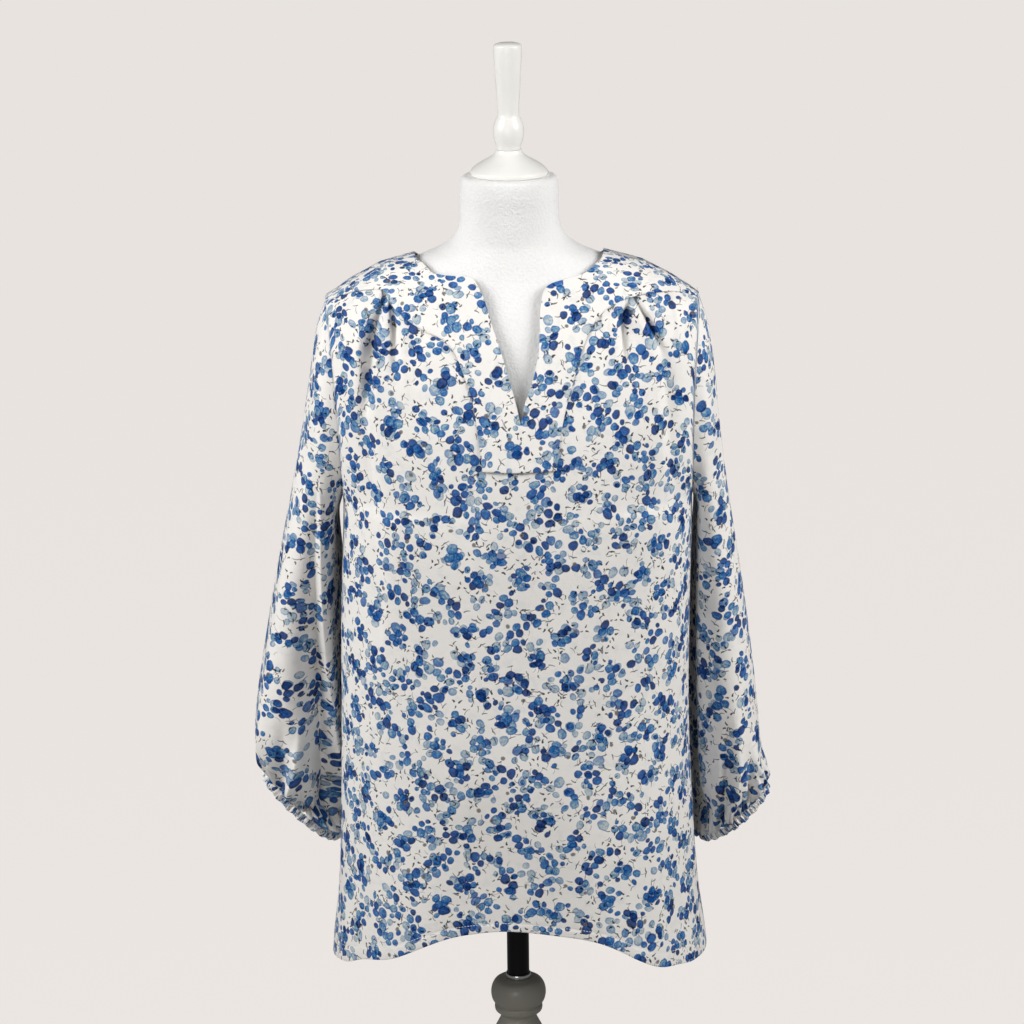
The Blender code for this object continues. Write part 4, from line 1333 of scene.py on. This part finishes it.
def torso_surface():
    """The form's rings: squared ovals, with their own depths in front and behind, round at the neck.

    A smooth curve runs through the table up to the rim at the top, and straight lines above it.
    """
    z = np.unique(np.concatenate([np.linspace(TORSO_LOW, TORSO_TOP, TORSO_ROWS), TORSO["z"]]))
    turn = np.arange(TORSO_SIDES) * 2 * math.pi / TORSO_SIDES
    squareness = np.interp(z, NECK_BLEND, (TORSO_SQUARENESS, 2.0))[:, None]
    out = np.sign(np.cos(turn)) * np.abs(np.cos(turn))**(2 / squareness)
    side = np.sign(np.sin(turn)) * np.abs(np.sin(turn))**(2 / squareness)
    half, front_depth, back_depth = (
        np.where(z < RIM_Z, flow(TORSO["z"], TORSO[name], z), np.interp(z, TORSO["z"], TORSO[name]))
        for name in ("half", "front", "back"))
    depth = np.where(side < 0, front_depth[:, None], back_depth[:, None])
    level = np.broadcast_to(z[:, None], out.shape)
    return np.stack([half[:, None] * out, depth * side, level], axis=-1)


torso = grid_mesh("form_torso_cover", torso_surface(), wrap=True, capped=True)
torso.data.materials.append(jersey_cover())
print("form:", len(torso.data.polygons), "faces")

# %% [markdown]
# The neck cap, the handle above it and the stand below are turned wood, so each is an outline
# swung round the upright axis. The outline's points are joined by a smooth curve with many small
# steps, and where the turning has a real corner its points lie close together.

# %% Turned pieces
CAP_OUTLINE = table("r z", [
    (12.5, 1426), (15, 1421.5), (21, 1417.5), (29, 1413), (35.5, 1408.5), (39, 1404.5),
    (39, 1401.5), (38, 1400.3),
])
FINIAL_OUTLINE = table("r z", [
    (9, 1533), (13, 1531.5), (14.3, 1528), (13.6, 1510), (11.6, 1480), (10.8, 1462),
    (12.4, 1457), (15, 1450), (15.5, 1443), (14.5, 1436), (12.5, 1430), (12, 1426.3),
])
POST_OUTLINE = table("r z", [
    (21, 535.7), (25, 533), (28.2, 527), (29.2, 520), (28, 513), (25.4, 508.5), (24, 507),
    (25.4, 505), (24.6, 500), (20, 496), (19.2, 492), (22, 486), (26.5, 476), (31, 455),
    (32.5, 430), (30, 390), (25, 330), (20.5, 270), (18, 215), (18, 190), (22, 186),
    (25, 180), (22, 174), (18.5, 170), (20, 140), (27, 105), (38, 75), (50, 52), (54, 42),
    (54, 30.3),
])
BASE_OUTLINE = table("r z", [
    (60, 30), (64, 27), (120, 24), (150, 21), (156, 18), (166, 17), (173, 13), (175, 8),
    (175, 2), (173, 0),
])
AXIS_RADIUS = 0.3 * MM
POLE_RADIUS = 11.7 * MM
POLE_LOW, POLE_HIGH = 536 * MM, 699.7 * MM
RING_RADIUS = 13.6 * MM
RING_HEIGHT = 6 * MM


def turned_points(outline, steps=6, sides=96):
    """Rings of a turned piece from its bottom up: a smooth curve through the outline's points.

    Both ends close in to a tiny ring round the axis.
    """
    knots = np.arange(len(outline["r"]), dtype=float)
    fine = np.linspace(0, knots[-1], len(knots) * steps)
    radius = np.maximum(flow(knots, outline["r"][::-1], fine), AXIS_RADIUS)
    height = np.clip(flow(knots, outline["z"][::-1], fine), outline["z"][-1], outline["z"][0])
    radius = np.concatenate([[AXIS_RADIUS], radius, [AXIS_RADIUS]])[:, None]
    height = np.concatenate([height[:1], height, height[-1:]])[:, None]
    turn = np.arange(sides) * 2 * math.pi / sides
    return np.stack([radius * np.cos(turn), radius * np.sin(turn), height + 0 * turn], axis=-1)


def paint(name, light, dark, roughness, coat, wear):
    """A painted turning: faint turning lines, a soft change of tone, and small dull scuffs."""
    nodes = Nodes(name)
    point = object_point(nodes)
    cloud = nodes.noise(point, 14.0, 3.0)
    lines = nodes.noise(nodes.vector("MULTIPLY", point, (12.0, 12.0, 900.0)), 1.0, 2.0)
    scuff = ((nodes.noise(point, 60.0, 4.0, 0.7) - 0.60) * 9).clamped()
    colour = nodes.blend(cloud, dark, light)
    scuffed = (*[channel * 0.72 for channel in dark[:3]], 1)
    colour = nodes.blend(scuff * wear, colour, scuffed)
    rough = roughness + scuff * 0.2 + (cloud - 0.5) * 0.12
    return nodes.finish(colour, rough, lines * 0.6 + cloud, 0.0003, 0.5, Coat_Weight=coat,
                        Coat_Roughness=0.22)


def add_hard(name, points, finish, node):
    """A rigid piece with a finish, riding on the stand and standing for its node."""
    piece = grid_mesh(name, points, wrap=True, capped=True)
    piece.data.materials.append(finish)
    piece.data.set_sharp_from_angle(angle=math.radians(50))
    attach(piece, "root")
    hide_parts(node)
    return piece


white_lacquer = paint("cream_white_lacquer", (0.88, 0.87, 0.84, 1), (0.82, 0.81, 0.775, 1),
                      roughness=0.36, coat=0.35, wear=0.18)
stand_paint = paint("grey_beige_satin_paint", (0.40, 0.385, 0.335, 1), (0.335, 0.32, 0.27, 1),
                    roughness=0.42, coat=0.2, wear=0.35)
add_hard("neck_cap_turned", turned_points(CAP_OUTLINE), white_lacquer, "neck_cap")
add_hard("finial_turned", turned_points(FINIAL_OUTLINE), white_lacquer, "finial")
add_hard("stand_post_turned", turned_points(POST_OUTLINE), stand_paint, "stand_post")
add_hard("stand_base_turned", turned_points(BASE_OUTLINE), stand_paint, "stand_base")
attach(torso, "root")
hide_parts("form_torso")

# %% [markdown]
# The pole is a black bar with a small bright ring where it enters the post. The bar has slightly
# softened ends and is turned like the pieces above, and the ring is a closed outline that swings
# round the pole. Turned steel has fine lines round it, and the black finish has faint ones along
# it.

# %% Pole and ring
RING_PLAY = 0.2 * MM


def metal(name, colour, roughness, metallic, stretch):
    """A drawn or turned metal: fine lines along one way, and a slow change of gloss."""
    nodes = Nodes(name)
    point = object_point(nodes)
    lines = nodes.noise(nodes.vector("MULTIPLY", point, stretch), 1.0, 3.0, 0.6)
    smear = nodes.noise(point, 22.0, 2.0)
    smeared = (*[channel * 1.35 + 0.004 for channel in colour], 1)
    base = nodes.blend(smear * 0.5, (*colour, 1), smeared)
    rough = roughness + (lines - 0.5) * 0.16 + (smear - 0.5) * 0.14
    return nodes.finish(base, rough, lines, 0.0001, 0.4, Metallic=metallic)


def bar_outline(radius, low, high, soft):
    """The outline of a bar with softened ends, from its top down."""
    return {"r": np.array([radius - soft, radius, radius, radius, radius - soft]),
            "z": np.array([high, high - soft, (low + high) / 2, low + soft, low])}


pole_bar = turned_points(bar_outline(POLE_RADIUS, POLE_LOW, POLE_HIGH, 0.5 * MM), steps=3, sides=64)
black_metal = metal("black_metal", (0.012, 0.012, 0.013), roughness=0.34, metallic=0.75,
                    stretch=(900.0, 900.0, 30.0))
add_hard("pole_bar", pole_bar, black_metal, "pole")


def ring_points(sides=64):
    """A collar round the pole: a rounded rim outside and a straight bore, closed on itself."""
    angle = np.linspace(-math.pi / 2, math.pi / 2, 9)[:, None]
    middle = POLE_LOW + RING_HEIGHT / 2
    width = RING_RADIUS - POLE_RADIUS - RING_PLAY
    radius = POLE_RADIUS + RING_PLAY + width * np.maximum(np.cos(angle), 0)**0.5
    height = middle + RING_HEIGHT / 2 * np.sin(angle)
    turn = np.arange(sides) * 2 * math.pi / sides
    return np.stack([radius * np.cos(turn), radius * np.sin(turn), height + 0 * turn], axis=-1)


collar_points = ring_points()
collar = grid_mesh("pole_ring_turned", np.concatenate([collar_points, collar_points[:1]]), wrap=True)
bright_steel = metal("bright_steel", (0.60, 0.60, 0.59), roughness=0.24, metallic=1.0,
                     stretch=(40.0, 40.0, 1500.0))
collar.data.materials.append(bright_steel)
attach(collar, "root")
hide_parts("pole_ring")
print("pole and ring ready")

# %% [markdown]
# One row of stitches holds the hem. Each stitch is a tiny lens of thread that dips into the cloth
# at both ends. The stitches of a hem are one mesh: the rings of one stitch, placed along the
# stitch line by numpy, so hundreds of them cost little.

# %% Hem stitches
STITCH_PITCH = 3.0 * MM
STITCH_LENGTH = 2.2 * MM
STITCH_SIDES = 6
THREAD_RADIUS = 0.28 * MM
THREAD_LIFT = 0.1 * MM
# a stitch's rings: their places as shares of its half length, and their radii as shares of its own
RING_PLACES = np.array([-1.0, -0.6, 0.0, 0.6, 1.0])
RING_SWELL = np.array([0.15, 0.85, 1.0, 0.85, 0.15])


def stitch_mesh(name, path, normal):
    """Stitches along a path: even places by length, each a six-sided lens along the path."""
    lengths = np.concatenate([[0], np.cumsum(np.linalg.norm(np.diff(path, axis=0), axis=1))])
    count = int(lengths[-1] / STITCH_PITCH)
    at = (np.arange(count) + 0.5) * STITCH_PITCH
    place = np.stack([np.interp(at, lengths, path[:, k]) for k in range(3)], axis=-1)
    ahead = np.stack([np.interp(at + 0.5 * MM, lengths, path[:, k]) for k in range(3)], axis=-1)
    out = unit(np.stack([np.interp(at, lengths, normal[:, k]) for k in range(3)], axis=-1))
    along = unit(ahead - place)
    across_way = np.cross(out, along)
    rings, sides = len(RING_PLACES), STITCH_SIDES
    turn = np.arange(sides) * 2 * math.pi / sides
    ring_out = RING_SWELL[:, None] * np.cos(turn)
    ring_side = RING_SWELL[:, None] * np.sin(turn)
    lens = (along[:, None, None] * (RING_PLACES * STITCH_LENGTH / 2)[None, :, None, None]
            + out[:, None, None] * (ring_out * THREAD_RADIUS + THREAD_LIFT)[None, ..., None]
            + across_way[:, None, None] * (ring_side * THREAD_RADIUS)[None, ..., None])
    points = (place[:, None, None] + lens).reshape(-1, 3)
    row, column = np.meshgrid(np.arange(rings - 1), np.arange(sides), indexing="ij")
    low, right = row * sides + column, row * sides + (column + 1) % sides
    quads = np.stack([low, low + sides, right + sides, right], axis=-1).reshape(-1, 4)
    caps = np.array([[0, 1, 2, 3], [0, 3, 4, 5]])
    one = np.concatenate([quads, caps, caps[:, ::-1] + (rings - 1) * sides])
    faces = (one[None] + rings * sides * np.arange(count)[:, None, None]).reshape(-1, 4)
    mesh = bpy.data.meshes.new(name)
    mesh.from_pydata(points.tolist(), [], faces.tolist())
    mesh.shade_smooth()
    piece = bpy.data.objects.new(name, mesh)
    bpy.context.scene.collection.objects.link(piece)
    return piece


def thread_finish():
    """Off-white sewing thread, twisted."""
    nodes = Nodes("off_white_thread")
    point = object_point(nodes)
    twist = nodes.noise(point, 1800.0, 1.0)
    colour = nodes.blend(twist, (0.74, 0.73, 0.70, 1), (0.88, 0.87, 0.84, 1))
    return nodes.finish(colour, twist * 0.2 + 0.5, twist, 0.0001, 0.5)


thread = thread_finish()
for name, points, flipped in (("front", front_points, 1), ("back", back_points, -1)):
    normals = grid_normals(points) * flipped
    line = int(np.argmin(np.abs(HEM_ROWS - HEM_DEPTH)))
    stitches = stitch_mesh(name + "_hem_stitches", points[line], normals[line])
    stitches.data.materials.append(thread)
    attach(stitches, "root")
    print(stitches.name, len(stitches.data.polygons), "faces")

# %% [markdown]
# Each cloth piece's area is summed over its outer face. A panel's area on the flat is close to its
# area now, folds included. It is less than the width times the length where a panel is no plain
# rectangle.


def sheet_area(piece):
    """Area of a piece's outer face, before its wall is added."""
    areas = np.empty(len(piece.data.polygons), dtype=np.float32)
    piece.data.polygons.foreach_get("area", areas)
    return float(areas.sum())


for name, piece in cloth_pieces.items():
    area = sheet_area(piece)

# %% [markdown]
# The set is a pale floor that sweeps up far off into a backdrop, like a studio's paper roll.
# Two soft boxes stand high and close on both sides, as for copying a picture. Both sides of the
# body catch light, the sleeves' inner sides and the folds fall into shade, and the light weakens
# towards the hem. A third box, farther off in front and to the left, fills the front softly, and
# the room adds a little even light.

# %% Floor and light
PALE = (0.823, 0.783, 0.753)
FLOOR_REACH = 8.0
FLOOR_BEND = 6.0
WALL_TOP = 14.0
ROOM_LIGHT = 0.18
LIGHT_AIM = Vector((0.0, 0.0, 1.05))
LIGHT_TINT = (1.0, 0.99, 0.98)
# each soft box: its place and its side in metres, and its power in watts
SOFT_BOXES = {
    "left_box": ((-1.66, -0.82, 2.1), 1.0, 35.5),
    "right_box": ((1.66, -0.82, 2.1), 1.0, 35),
    "front_box": ((-0.9, -3.7, 1.7), 1.2, 21),
}


def add_floor():
    """A floor that curves up all round into a backdrop, mostly lit by its own even light."""
    nodes = Nodes("pale_floor")
    cloud = nodes.noise(object_point(nodes), 0.8, 1.0)
    colour = nodes.blend(cloud, (0.060, 0.057, 0.055, 1), (0.064, 0.061, 0.059, 1))
    nodes.finish(colour, 0.95, Emission_Color=(*PALE, 1), Emission_Strength=0.965, Specular_IOR_Level=0.0)
    ring = np.arange(96) * 2 * math.pi / 96
    bend = np.linspace(math.pi / 2, 0, 13)
    sweep = FLOOR_REACH + FLOOR_BEND * np.sin(bend)
    climb = FLOOR_BEND - FLOOR_BEND * np.cos(bend)
    radius = np.concatenate([sweep[:1], sweep, [3.0, AXIS_RADIUS]])[:, None]
    height = np.concatenate([[WALL_TOP], climb, [0.0, 0.0]])[:, None]
    points = np.stack([radius * np.cos(ring), radius * np.sin(ring), height + 0 * ring], axis=-1)
    floor = grid_mesh("floor", points, wrap=True)
    floor.data.materials.append(nodes.material)
    floor.visible_diffuse = False
    floor.visible_glossy = False
    floor.visible_shadow = False


def add_light(name, place, size, power):
    """A square soft light that looks at the blouse's chest."""
    lamp = bpy.data.lights.new(name, "AREA")
    lamp.size = size
    lamp.energy = power
    lamp.color = LIGHT_TINT
    light = bpy.data.objects.new(name, lamp)
    light.location = place
    light.rotation_euler = (LIGHT_AIM - Vector(place)).to_track_quat("-Z", "Y").to_euler()
    bpy.context.scene.collection.objects.link(light)


def add_room():
    """Even room light."""
    world = bpy.data.worlds.new("room")
    world.use_nodes = True
    background = world.node_tree.nodes["Background"]
    background.inputs["Color"].default_value = (1.0, 0.99, 0.975, 1)
    background.inputs["Strength"].default_value = ROOM_LIGHT
    bpy.context.scene.world = world


add_floor()
for name, box in SOFT_BOXES.items():
    add_light(name, *box)
add_room()
bpy.context.scene.view_settings.view_transform = "Standard"
print("lights ready")
